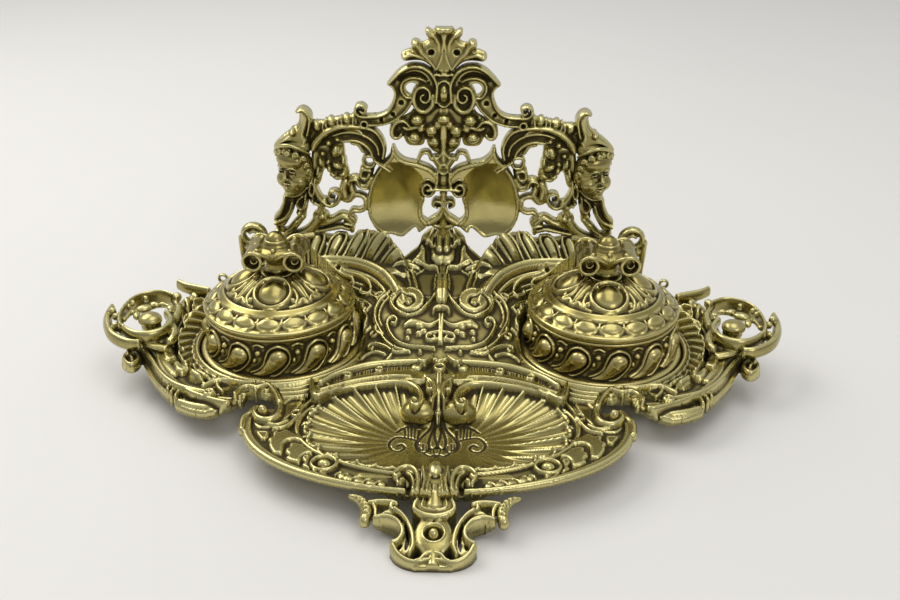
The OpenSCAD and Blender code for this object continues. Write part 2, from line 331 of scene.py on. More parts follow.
    def hole(self, cu, cv, ru, rv, angle=0.0):
        if self.twin:
            self.twin = False
            self.hole(cu, cv, ru, rv, angle)
            self.twin = True
            cu, angle = -cu, -angle
        r = max(ru, rv)
        w = self.window((cu - r, cv - r), (cu + r, cv + r), 1.5)
        a = math.radians(angle)
        du, dv = self.U[w] - cu, self.V[w] - cv
        x, y = du * math.cos(a) + dv * math.sin(a), -du * math.sin(a) + dv * math.cos(a)
        q = np.hypot(x / ru, y / rv)
        self.S[w] = np.maximum(self.S[w], (1 - q) * min(ru, rv))

    def blur(self, rounds):
        for _ in range(rounds):
            for axis in (0, 1):
                h = self.H
                a, b = np.roll(h, 1, axis), np.roll(h, -1, axis)
                self.H = (a + 2 * h + b) / 4

    def solid(self, back, place, mirror=False):
        """Vertices and faces of the closed plate; back is its rear height, place maps (u, v, h) to x, y, z."""
        reach = 0.7 * self.cell
        S = self.S
        gu = np.gradient(S, self.cell, axis=0)
        gv = np.gradient(S, self.cell, axis=1)
        g2 = np.maximum(gu**2 + gv**2, 0.25)
        snap = np.abs(S) < reach
        U = np.where(snap, self.U - np.clip(S * gu / g2, -reach, reach), self.U)
        V = np.where(snap, self.V - np.clip(S * gv / g2, -reach, reach), self.V)
        nu, nv = S.shape
        quads = cell_faces(nu, nv)
        keep = (S.ravel()[quads] < reach * 0.98).all(1)
        quads = quads[keep]
        used = np.zeros(nu * nv, bool)
        used[quads] = True
        index = np.cumsum(used) - 1
        quads = index[quads]
        n = used.sum()
        H = np.maximum(self.H, back + 0.3)
        back = np.broadcast_to(np.asarray(back, float), S.shape)
        top = np.stack(place(U.ravel()[used], V.ravel()[used], H.ravel()[used]), -1)
        low = np.stack(place(U.ravel()[used], V.ravel()[used], back.ravel()[used]), -1)
        edges = np.concatenate([quads[:, [0, 1]], quads[:, [1, 2]], quads[:, [2, 3]], quads[:, [3, 0]]])
        key = np.minimum(edges[:, 0], edges[:, 1]) * n + np.maximum(edges[:, 0], edges[:, 1])
        _, first, count = np.unique(key, return_index=True, return_counts=True)
        rim = edges[first[count == 1]]
        walls = np.stack([rim[:, 1], rim[:, 0], rim[:, 0] + n, rim[:, 1] + n], -1)
        faces = np.concatenate([quads, quads[:, ::-1] + n, walls])
        verts = np.concatenate([top, low])
        ground = np.broadcast_to(np.clip(1 - (H - self.B) / self.depth, 0, 1) * self.tone + self.ink, S.shape)
        self.low = np.concatenate([ground.ravel()[used], np.zeros(n)])
        if mirror:
            verts = verts * np.array([-1, 1, 1])
            faces = faces[:, ::-1]
        return verts, faces

    def sample(self, u, v):
        """Height at any points, by bilinear interpolation."""
        fu = np.clip((u - self.u[0]) / self.cell, 0, len(self.u) - 1.001)
        fv = np.clip((v - self.v[0]) / self.cell, 0, len(self.v) - 1.001)
        i, j = fu.astype(int), fv.astype(int)
        a, b = fu - i, fv - j
        H = self.H
        return (H[i, j] * (1 - a) + H[i + 1, j] * a) * (1 - b) + (H[i, j + 1] * (1 - a) + H[i + 1,
            j + 1] * a) * b


# ---------------------------------------------------------------- round pieces fused by remeshing
def rotation(axis, degrees):
    return np.array(Matrix.Rotation(math.radians(degrees), 3, axis))


def ball(centre, radii, turn=None, n=20):
    """An ellipsoid as vertices and faces."""
    radii = np.broadcast_to(np.asarray(radii, float), 3)
    th = np.linspace(0, 2 * math.pi, 2 * n, endpoint=False)
    ph = np.linspace(0.04, math.pi - 0.04, n)
    t, p = np.meshgrid(th, ph, indexing="ij")
    v = np.stack([np.cos(t) * np.sin(p), np.sin(t) * np.sin(p), np.cos(p)], -1).reshape(-1, 3) * radii
    if turn is not None:
        v = v @ np.asarray(turn).T
    v = v + np.asarray(centre, float)
    faces = cell_faces(2 * n, n, wrap_u=True)[:, ::-1]
    caps = [np.arange(2 * n)[::-1] * n, np.arange(2 * n) * n + n - 1]
    tris = []
    for cap in caps:
        tris.append(np.stack([np.full(2 * n - 2, cap[0]), cap[1:-1], cap[2:]], -1))
    return v, [faces, np.concatenate(tris)[:, ::-1]]


def tube(path, width, height=None, up=(0, 0, 1), sides=12, steps=5, raw=False):
    """A band of oval section swept along a 3D path; width and height are half sizes, numbers or lists."""
    p = np.asarray(path, float) if raw else smooth_line(path, steps)
    n = len(p)
    s = np.linspace(0, 1, n)
    width = np.atleast_1d(np.asarray(width, float))
    height = width if height is None else np.atleast_1d(np.asarray(height, float))
    w = np.interp(s, np.linspace(0, 1, len(width)), width)
    h = np.interp(s, np.linspace(0, 1, len(height)), height)
    d = np.gradient(p, axis=0)
    d /= np.linalg.norm(d, axis=1)[:, None] + 1e-12
    side = np.cross(d, np.asarray(up, float))
    side /= np.linalg.norm(side, axis=1)[:, None] + 1e-9
    top = np.cross(side, d)
    a = np.linspace(0, 2 * math.pi, sides, endpoint=False)
    ring = p[:, None] + (w[:, None] * np.cos(a))[..., None] * side[:, None] + (h[:, None] * np.sin(a))[...,
        None] * top[:, None]
    ends = np.stack([p[0] - d[0] * min(w[0], h[0]) * 0.7, p[-1] + d[-1] * min(w[-1], h[-1]) * 0.7])
    verts = np.concatenate([ring.reshape(-1, 3), ends])
    faces = cell_faces(n, sides, wrap_v=True)
    j = np.arange(sides)
    k = (j + 1) % sides
    first = np.stack([np.full(sides, n * sides), k, j], -1)
    last = np.stack([np.full(sides, n * sides + 1), (n - 1) * sides + j, (n - 1) * sides + k], -1)
    return verts, [faces[:, ::-1], np.concatenate([first, last])[:, ::-1]]


def turned(profile, n=64, axis=(0, 0)):
    """A closed turned solid from rows of radius and height that start and end on the axis."""
    p = np.asarray(profile, float)
    a = np.linspace(0, 2 * math.pi, n, endpoint=False)
    r = np.maximum(p[:, 0], 0.02)
    v = np.stack([axis[0] + r[None] * np.cos(a)[:, None], axis[1] + r[None] * np.sin(a)[:, None],
                  np.broadcast_to(p[None, :, 1], (n, len(p)))], -1).reshape(-1, 3)
    m = len(p)
    faces = cell_faces(n, m, wrap_u=True)
    j = np.arange(1, n - 1)
    low = np.stack([np.zeros(n - 2, int), (j + 1) * m, j * m], -1)
    high = np.stack([np.full(n - 2, m - 1), j * m + m - 1, (j + 1) * m + m - 1], -1)
    return v, [faces, np.concatenate([low, high])]


def moved(part, offset=(0, 0, 0), turn=None, mirror=False):
    v, faces = part
    if mirror:
        v = v * np.array([-1, 1, 1])
        faces = [f[:, ::-1] for f in faces]
    if turn is not None:
        v = v @ np.asarray(turn).T
    return v + np.asarray(offset, float), faces


def arrays(mesh):
    """Vertices in millimetres and the quads and triangles of a Blender mesh."""
    co = np.empty(len(mesh.vertices) * 3)
    mesh.vertices.foreach_get("co", co)
    total = np.empty(len(mesh.polygons), np.int64)
    mesh.polygons.foreach_get("loop_total", total)
    start = np.empty(len(mesh.polygons), np.int64)
    mesh.polygons.foreach_get("loop_start", start)
    loops = np.empty(len(mesh.loops), np.int64)
    mesh.loops.foreach_get("vertex_index", loops)
    out = []
    for k in (3, 4):
        rows = start[total == k]
        if len(rows):
            out.append(loops[rows[:, None] + np.arange(k)])
    return co.reshape(-1, 3) / MM, out


def fused(parts, voxel=0.35, rounds=2):
    """Joins overlapping closed parts into one skin by voxel remeshing, then softens it a little."""
    verts, faces, base = [], [], 0
    for v, fs in parts:
        verts.append(v)
        for f in fs if isinstance(fs, list) else [fs]:
            faces += (f + base).tolist()
        base += len(v)
    mesh = bpy.data.meshes.new("rough")
    mesh.from_pydata((np.concatenate(verts) * MM).tolist(), [], faces)
    obj = bpy.data.objects.new("rough", mesh)
    bpy.context.scene.collection.objects.link(obj)
    mod = obj.modifiers.new("remesh", "REMESH")
    mod.mode = "VOXEL"
    mod.voxel_size = voxel * MM
    mod.adaptivity = 0
    bpy.context.view_layer.update()
    skin = bpy.data.meshes.new_from_object(obj.evaluated_get(bpy.context.evaluated_depsgraph_get()))
    v, out = arrays(skin)
    ev = np.empty(len(skin.edges) * 2, np.int64)
    skin.edges.foreach_get("vertices", ev)
    ev = ev.reshape(-1, 2)
    src, dst = np.concatenate([ev[:, 0], ev[:, 1]]), np.concatenate([ev[:, 1], ev[:, 0]])
    deg = np.bincount(dst, minlength=len(v))[:, None]
    for _ in range(rounds):
        for pull in (0.6, -0.35):
            mean = np.stack([np.bincount(dst, v[src, k], len(v)) for k in range(3)], -1) / deg
            v = v + pull * (mean - v)
    bpy.data.objects.remove(obj)
    bpy.data.meshes.remove(mesh)
    bpy.data.meshes.remove(skin)
    return v, out


# ---------------------------------------------------------------- materials
def node(tree, kind, **inputs):
    made = tree.nodes.new(kind)
    for key, value in inputs.items():
        socket = made.inputs[int(key[1:])] if key[0] == "i" and key[1:].isdigit() else made.inputs[key]
        if isinstance(value, bpy.types.NodeSocket):
            tree.links.new(value, socket)
        else:
            socket.default_value = value
    return made


def maths(tree, op, a, b=0.0, c=0.0):
    made = node(tree, "ShaderNodeMath", i0=a, i1=b, i2=c)
    made.operation = op
    return made.outputs[0]


def step_up(tree, value, low, high):
    made = node(tree, "ShaderNodeMapRange", Value=value)
    made.interpolation_type = "SMOOTHSTEP"
    made.inputs["From Min"].default_value = low
    made.inputs["From Max"].default_value = high
    return made.outputs[0]


def mix(tree, factor, a, b):
    made = tree.nodes.new("ShaderNodeMix")
    made.data_type = "RGBA"
    for socket, value in ((made.inputs[0], factor), (made.inputs[6], a), (made.inputs[7], b)):
        if isinstance(value, bpy.types.NodeSocket):
            tree.links.new(value, socket)
        else:
            socket.default_value = value
    return made.outputs[2]


def brass(name, mid, bright, dark, low=0.03, high=0.30, polish=0.26, ground=0.0):
    """Aged brass: bright where the relief stands proud and is rubbed, near black patina where it is sunk, and
    the same dark painted on as shade where an ambient occlusion node finds crevices, overhangs and parts that
    meet.
    """
    mat = bpy.data.materials.new(name)
    mat.use_nodes = True
    tree = mat.node_tree
    shader = tree.nodes["Principled BSDF"]
    place = tree.nodes.new("ShaderNodeTexCoord").outputs["Object"]
    cavity = tree.nodes.new("ShaderNodeAttribute")
    cavity.attribute_name = "cavity"
    fine = tree.nodes.new("ShaderNodeAttribute")
    fine.attribute_name = "fine"
    cloud = node(tree, "ShaderNodeTexNoise", Vector=place, Scale=90.0, Detail=4.0, Roughness=0.6).outputs[0]
    grain = node(tree, "ShaderNodeTexNoise", Vector=place, Scale=900.0, Detail=5.0, Roughness=0.65).outputs[0]
    # Ambient occlusion darkens tight crevices, overhangs and the places where parts meet: painted shade,
    # joined below with the patina of the sunk relief.
    crevice = node(tree, "ShaderNodeAmbientOcclusion", Distance=0.0035)
    crevice.samples = 6
    shade = maths(tree, "SUBTRACT", 1.0, crevice.outputs["AO"])
    sunk = maths(tree, "ADD", cavity.outputs["Fac"], maths(tree, "MULTIPLY_ADD", grain, 0.07,
                                                           -0.035 + ground))
    sunk = step_up(tree, sunk, low, high)
    occlusion_shade = step_up(tree, maths(tree, "MULTIPLY_ADD", grain, 0.25, maths(tree, "ADD", shade, -0.12)), 0.36,
                   0.85)
    # One mask for the patina in the sunk relief and the painted occlusion shade; it darkens the colour and
    # lowers the metallic.
    patina_and_shade = maths(tree, "MAXIMUM", sunk, occlusion_shade)
    rubbed = step_up(tree, maths(tree, "MULTIPLY", fine.outputs["Fac"], -1.0), 0.006, 0.07)
    tone = mix(tree, step_up(tree, cloud, 0.3, 0.72), mid, [0.86 * m for m in mid[:3]] + [1])
    tone = mix(tree, rubbed, tone, bright)
    tone = mix(tree, maths(tree, "MULTIPLY", patina_and_shade, 0.94), tone, dark)
    tree.links.new(tone, shader.inputs["Base Color"])
    tree.links.new(maths(tree, "MULTIPLY_ADD", patina_and_shade, -0.3, 1.0), shader.inputs["Metallic"])
    rough = maths(tree, "MULTIPLY_ADD", patina_and_shade, 0.34, maths(tree, "MULTIPLY_ADD", grain, 0.16, polish - 0.08))
    tree.links.new(maths(tree, "MULTIPLY_ADD", cloud, 0.12, maths(tree, "ADD", rough, -0.06)),
                   shader.inputs["Roughness"])
    relief = node(tree, "ShaderNodeBump", Strength=0.12, Distance=0.00025, Height=grain)
    tree.links.new(relief.outputs[0], shader.inputs["Normal"])
    return mat


MID, BRIGHT, DARK = [0.345, 0.295, 0.105, 1], [0.58, 0.52, 0.235, 1], [0.034, 0.022, 0.006, 1]
CAST = brass("cast_brass", MID, BRIGHT, DARK, low=0.05, high=0.42)
POLISHED = brass("polished_brass", [0.56, 0.49, 0.20, 1], [0.62, 0.56, 0.25, 1], DARK, low=0.5, high=0.9,
                 polish=0.14)
LIDS = brass("lid_brass", [0.335, 0.28, 0.093, 1], [0.56, 0.49, 0.21, 1], DARK, low=0.04, high=0.26,
             polish=0.24)
POTS = brass("pot_brass", [0.33, 0.27, 0.085, 1], [0.58, 0.50, 0.21, 1], DARK, low=-0.02, high=0.14,
             polish=0.27)
SCREW = brass("screw_brass", [0.42, 0.33, 0.12, 1], [0.6, 0.52, 0.24, 1], [0.05, 0.035, 0.02, 1], polish=0.34)


def glaze():
    """White glazed earthenware with a faint ink stain inside and a fine crackle."""
    mat = bpy.data.materials.new("cup_glaze")
    mat.use_nodes = True
    tree = mat.node_tree
    shader = tree.nodes["Principled BSDF"]
    place = tree.nodes.new("ShaderNodeTexCoord").outputs["Object"]
    cloud = node(tree, "ShaderNodeTexNoise", Vector=place, Scale=110.0, Detail=5.0, Roughness=0.6).outputs[0]
    crackle = node(tree, "ShaderNodeTexVoronoi", Vector=place, Scale=260.0)
    crackle.feature = "DISTANCE_TO_EDGE"
    line = step_up(tree, crackle.outputs["Distance"], 0.05, 0.0)
    stain = step_up(tree, cloud, 0.5, 0.75)
    tone = mix(tree, stain, [0.80, 0.78, 0.70, 1], [0.42, 0.44, 0.47, 1])
    tone = mix(tree, maths(tree, "MULTIPLY", line, 0.3), tone, [0.35, 0.3, 0.22, 1])
    tree.links.new(tone, shader.inputs["Base Color"])
    tree.links.new(maths(tree, "MULTIPLY_ADD", cloud, 0.2, 0.08), shader.inputs["Roughness"])
    shader.inputs["Coat Weight"].default_value = 0.6
    shader.inputs["Coat Roughness"].default_value = 0.06
    relief = node(tree, "ShaderNodeBump", Strength=0.15, Distance=0.0002, Height=crackle.outputs["Distance"])
    tree.links.new(relief.outputs[0], shader.inputs["Normal"])
    return mat


GLAZE = glaze()


# ---------------------------------------------------------------- the tray's bare surface
SHELL = (46.0, 37.0, 31.4)  # centre and radius of the round hollow behind each pot


def ground(x, y):
    """Height of the tray's surface before any ornament."""
    x = np.abs(x)
    pot = np.hypot(x - 63.3, y - 36.5)
    fan = np.hypot(x - SHELL[0], y - SHELL[1])
    bowl = ((x / 46) ** 2.4 + (np.abs(y + 20.1) / 26) ** 2.4) ** (1 / 2.4)
    rim = np.hypot(x / 69.4, (y + 18) / np.where(y < -24, 39.5, 38.0))
    wing = np.interp(pot, [32.3, 33.0, 36, 41, 46, 49, 51.5, 60], [12, 14.2, 13.8, 15.0, 15.6, 16.0, 13.0,
        11.5])
    wing = wing + 6.0 * np.clip((np.degrees(np.arctan2(y - 36.5, x - 63.3)) + 12) / 50, 0,
                                1) * np.clip((pot - 36) / 8, 0, 1)
    wing = np.where(pot < 54, wing, -9)
    dish = 13.2 - 6.0 * np.clip(1 - bowl**2.6, 0, 1)
    dish = np.where(rim < 1.03, dish, -9)
    foot = np.where((y < -50) & (x < 32), np.interp(y, [-80, -74, -66, -57, -50], [2.2, 4.6, 6.6, 9.6,
        11.5]), -9)
    panel = np.interp(y, [6, 14, 20, 30, 40, 50, 60, 70, 78], [14, 16.4, 19.6, 24.4, 28.8, 32.4, 35.6, 38.6,
        41]) - 0.007 * x**2
    panel = np.where((x < 40) & (y > 6), panel, -9)
    edge = np.interp(y, [12, 20, 30, 40, 44, 50, 58, 66], [14.5, 18, 22.5, 27.4, 30.0, 33.4, 36.6, 38.2])
    shell = np.where((fan < SHELL[2]) & (y > 12), edge + 1.1 * (fan - SHELL[2]), -9)
    rise = edge + 1.25 * np.clip(fan - SHELL[2], 0, 5.6) * np.clip((y - 56) / 10, 0,
        1) - 2.5 * np.clip(fan - 37.4, 0, 9)
    rise = np.where((fan >= SHELL[2]) & (y > 12), rise - 0.8 * np.clip(fan - SHELL[2], 0, 9) * (y < 56), -9)
    back = np.maximum(np.maximum(panel, shell), rise)
    return np.maximum(np.maximum(wing, dish), np.maximum(foot, np.where(pot > 32.3, back, -9)))


# ---------------------------------------------------------------- lids
LID_H = LID_TOP - MOUTH_Z
LID_DOME = [(0, LID_H), (6.5, LID_H), (9, LID_H - 0.4), (14, LID_H - 2.4), (18, LID_H - 4.5), (21,
    LID_H - 6.6),
            (23.6, LID_H - 8.2), (26, LID_H - 9.8), (28.3, LID_H - 11.2)]


def lid_relief():
    """The lid seen from above: cabochons and scrolled leaves on the dome, a ring, and a border of eggs."""
    R = Relief(-30, 30, -30, 30, 0.15)
    radius = np.hypot(R.U, R.V)
    R.H[:] = 0
    R.H += 0.75 * np.clip(bump(radius, 22.2, 1.6), 0, 0.8) - 0.5 * bump(radius, 20.3, 0.55)
    R.H -= 0.35 * ramp(radius, 23.7, 24.1) * ramp(radius, 28.4, 27.9)
    R.B = R.H.copy()
    eggs = 17
    for k in range(eggs):
        a = 360 * (k + 0.5) / eggs + 90
        turn = lambda pts: [(r * math.cos(math.radians(a + t)), r * math.sin(math.radians(a + t))) for r,
                            t in pts]
        cu, cv = turn([(25.7, 0)])[0]
        R.dome(cu, cv, 2.1, 4.5, 1.5, angle=a, power=0.42)
        R.stroke(turn([(24.2, -10), (26.2, -9.6), (27.7, -6), (28.3, 0), (27.7, 6), (26.2, 9.6), (24.2,
            10)]), 0.38, 0.75)
        du, dv = turn([(24.4, 360 / eggs / 2)])[0]
        R.pit(du, dv, 0.75, 0.7)
    for k in range(4):
        a = 90 * k - 90
        c, s = math.cos(math.radians(a)), math.sin(math.radians(a))
        at = lambda pts: [(c * x - s * y, s * x + c * y) for x, y in pts]
        R.dome(13.5 * c, 13.5 * s, 5.1, 5.3, 2.3, angle=a, power=0.6)
        R.stroke(at([(13.5 + 6.7 * math.cos(t), 6.9 * math.sin(t)) for t in np.linspace(0, 6.28, 25)]), 0.85,
                 1.4, raw=True)
        a += 45
        c, s = math.cos(math.radians(a)), math.sin(math.radians(a))
        R.stroke(at([(7.2, 0), (11, 0), (15.5, 0), (19.6, 0)]), [0.5, 1.9, 1.5, 0.5], [0.6, 1.4, 1.1, 0.5])
        R.groove(at([(8, 0), (18.5, 0)]), 0.35, 0.5)
        for m in (-1, 1):
            R.stroke(at([(8, m * 1.2), (11.5, m * 2.6), (14.6, m * 2.8), (17.2, m * 3.6), (18.7, m * 5.6)]),
                     [0.5, 0.75, 0.7, 0.6], 1.0)
            R.stroke(at([(19.8, m * 0.6), (18.2, m * 2.2), (19.3, m * 4.6), (18.4, m * 8.2)]), [0.8, 0.7,
                0.45], 0.9)
            R.dome(*at([(17.1, m * 5.6)])[0], 1.0, 1.0, 1.0)
            R.dome(*at([(9.4, m * 3.6)])[0], 0.8, 0.8, 0.8)
    R.blur(1)
    return R


def revolve(outer, relief, inner, n=400):
    """A closed ring solid: the relief skin over rows of (radius, height), then the plain inner rows."""
    p = np.asarray(outer, float)
    q = np.asarray(inner, float)
    a = np.linspace(0, 2 * math.pi, n, endpoint=False)[:, None]
    rows_r = np.broadcast_to(p[None, :, 0], (n, len(p)))
    rows_z = np.broadcast_to(p[None, :, 1], (n, len(p)))
    dr, dz = relief(a, rows_r, rows_z)
    r = np.concatenate([rows_r + dr, np.broadcast_to(q[None, :, 0], (n, len(q)))], 1)
    z = np.concatenate([rows_z + dz, np.broadcast_to(q[None, :, 1], (n, len(q)))], 1)
    v = np.stack([r * np.cos(a), r * np.sin(a), z], -1).reshape(-1, 3)
    return v, cell_faces(n, len(p) + len(q), wrap_u=True, wrap_v=True)[:, ::-1]


def build_lid():
    R = lid_relief()
    dome = np.array(LID_DOME)
    r = np.concatenate([[1.7], np.arange(2.2, 28.21, 0.3)])
    z = np.interp(r, dome[:, 0], dome[:, 1])
    for _ in range(3):
        z[1:-1] = (z[:-2] + 2 * z[1:-1] + z[2:]) / 4
    band = [(28.7, 2.9), (29.1, 2.75), (29.4, 2.45), (29.5, 2.0), (29.35, 1.2), (29.0, 0.6), (28.5, 0.15),
            (28.0, 0.02)]
    outer = np.concatenate([np.stack([r, z], -1), np.array(band)])
    inner = [(27, 0.02), (26.8, -0.3), (26.7, -3.2), (25.4, -3.3), (25.3, 0.6), (23, 3.4), (14, 9.0), (7,
        11.6), (1.7, 11.6)]

    def relief(a, rows_r, rows_z):
        rise = R.sample(rows_r * np.cos(a), rows_r * np.sin(a))
        rise = np.where((rows_r < 28.3) & (rows_z > 3), rise, 0)
        return np.zeros_like(rise), rise

    return revolve(outer, relief, inner, n=480)


# ---------------------------------------------------------------- pots
GADROONS = 12
POT_PERIOD = 2 * math.pi * 30.0 / GADROONS


def pot_relief():
    """One swirl gadroon of the pot's wall, unrolled: u along the wall, v up it."""
    R = Relief(-POT_PERIOD, POT_PERIOD, 2.5, 21.5, 0.12)
    for shift in (-POT_PERIOD, 0, POT_PERIOD):
        move = lambda pts: [(u + shift, v) for u, v in pts]
        R.stroke(move([(-6.4, 4.6), (-3.4, 5.6), (-0.4, 7.9), (2.4, 11), (3.4, 12.6)]), [0.5, 1.5, 2.6, 3.6,
            3.7],
                 [0.9, 1.6, 2.4, 3.1, 3.0])
        R.stroke(move([(-7.6, 5.4), (-4.6, 7), (-2.4, 9.6), (-1.4, 13), (0.2, 16.6), (3.6, 18), (7, 16), (8,
            12),
                       (6.2, 8.2), (2.8, 5), (-1.4, 3.4)]), [0.4, 0.55, 0.55, 0.5, 0.4], 1.35)
        R.dome(-4.6 + shift, 14.4, 1.25, 1.25, 1.5)
        R.dome(-6.2 + shift, 10.6, 0.8, 1.1, 1.0)
        R.stroke(move([(-6.4, 17.6), (-4.6, 18.4), (-2.4, 17.4)]), 0.45, 0.8)
    return R


def build_pot():
    R = pot_relief()
    z = np.arange(3.8, 17.61, 0.25)
    ground = np.interp(z, [3.8, 7, 12, 16, 17.6], [29.2, 28.4, 28.2, 27.9, 28.3])
    ring = [(27.3, 4.0), (27.3, 19.0), (28.9, 19.0), (29.0, 18.4), (28.7, 17.9)]
    foot = [(30.4, 3.6), (31.2, 3.4), (31.8, 3.0), (32, 2.4), (31.9, 1.4), (31.9, 0.2), (31.6, 0.0)]
    outer = np.concatenate([np.array(ring), np.stack([ground, z], -1)[::-1], np.array(foot)])
    inner = [(20, 0.0), (2.0, 0.0), (2.0, 4.0), (20, 4.0)]

    def relief(a, rows_r, rows_z):
        arc = (a * 30.0 + 0 * rows_r + POT_PERIOD / 2) % POT_PERIOD - POT_PERIOD / 2
        rise = R.sample(arc, 4.2 + (rows_z - 4.2) * 1.16)
        live = ramp(rows_z, 3.6, 4.4) * ramp(rows_z, 17.8, 17.0) * (rows_r > 27.6)
        return rise * live, np.zeros_like(rise)

    return revolve(outer, relief, inner, n=720)


# ---------------------------------------------------------------- knobs
def build_knob():
    """Scrolled capital on a short neck: a volute pair on each face, meeting at the corners."""
    parts = [turned([(0, 0), (6.6, 0), (6.8, 0.5), (6.2, 1.0), (4.6, 1.5), (4.1, 2.6), (4.0, 4.4), (4.3,
        5.2), (4.6, 5.9),
                     (5.4, 7.4), (5.8, 8.6), (5.6, 10.4), (5.0, 11.6), (4.2, KNOB_TOP - LID_TOP), (0,
                         KNOB_TOP - LID_TOP)])]
    for k in (0, 2):
        turn = rotation("Z", 90 * k)
        for m in (-1, 1):
            centre = np.array([m * 7.8, -8.6, 7.9])
            facing = np.array([m * 0.06, -1, -0.03])
            facing /= np.linalg.norm(facing)
            side = np.cross(facing, (0, 0, 1))
            side /= np.linalg.norm(side)
            rise = np.cross(side, facing)
            t = np.linspace(0, 2 * math.pi, 25)
            around = np.cos(t)[:, None] * side + np.sin(t)[:, None] * rise
            parts.append(moved(tube(centre - facing * 4.4 + 3.2 * around, 0.65, 4.6, up=facing, raw=True),
                               turn=turn))
            parts.append(moved(tube(centre + facing * 0.3 + 3.4 * around, 0.7, 0.5, up=facing, raw=True),
                               turn=turn))
            inner_turn = []
            for b, r in zip(np.linspace(1.5, 6.5, 14), np.linspace(2.2, 0.8, 14)):
                inner_turn.append(tuple(centre - facing * 1.2 + r * (math.cos(b) * side + math.sin(b) * rise)))
            parts.append(moved(tube(inner_turn, 0.35, raw=True), turn=turn))
            parts.append(moved(ball(centre - facing * 4.4, (3.3, 3.3, 1.3), np.stack([side, rise, facing],
                1)), turn=turn))
            sweep = [(m * 0.4, -6.4, 7.6), (m * 2.6, -7.4, 9.4), (m * 5.2, -8.6, 11.0), (m * 8.2, -8.9,
                11.5), (m * 10.6, -8.4, 10.2)]
            parts.append(moved(tube(sweep, [0.6, 0.9, 0.9, 0.8, 0.5]), turn=turn))
        parts.append(moved(ball((0, -5.2, 8.4), (2.4, 2.0, 2.6)), turn=turn))
        parts.append(moved(ball((0, -6.9, 8.8), (0.7, 0.6, 0.7), n=10), turn=turn))
        for x in (-6.2, 0, 6.2):
            parts.append(moved(ball((x, -6.4, 11.6), 0.9, n=8), turn=turn))
    parts.append(ball((0, 0, 9.6), (7.6, 7.6, 2.2)))
    t = np.linspace(0, 2 * math.pi, 33)
    ring = np.stack([4.6 * np.cos(t), 4.6 * np.sin(t), np.full(33, 11.8)], -1)
    parts.append(tube(ring, 0.5, raw=True))
    v, faces = fused(parts, voxel=0.28, rounds=2)
    v[:, 2] = np.clip(v[:, 2], 0, None)
    return v, faces


LID_MESH, POT_MESH, KNOB_MESH = build_lid(), build_pot(), build_knob()
for side, sign in (("left", -1), ("right", 1)):
    for part, (verts, faces), z, material, slot, body in (
        ("lid", LID_MESH, MOUTH_Z, LIDS, "lid_brass", side + "_cover"),
        ("knob", KNOB_MESH, LID_TOP, LIDS, "lid_brass", side + "_cover"),
        ("pot", POT_MESH, FLOOR_Z, POTS, "pot_brass", "stand"),
    ):
        mesh_piece(f"{side}_{part}_casting", verts + np.array([sign * POT_X, POT_Y, z]), faces, body,
                   material, slot,
                   replaces=[f"{side}_{part}"])
    for part, material in (("knob_screw", LIDS), ("knob_nut", SCREW), ("pot_screw", SCREW), ("pot_washer",
        SCREW),
                           ("ink_cup", GLAZE), ("foot", CAST)):
        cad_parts[f"{side}_{part}"].data.materials.clear()
        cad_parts[f"{side}_{part}"].data.materials.append(material)
for part in ("gallery_screws", "foot_screws"):
    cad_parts[part].data.materials.clear()
    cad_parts[part].data.materials.append(SCREW)


# ---------------------------------------------------------------- front dish
def plan(u, v, h):
    return u, v, h


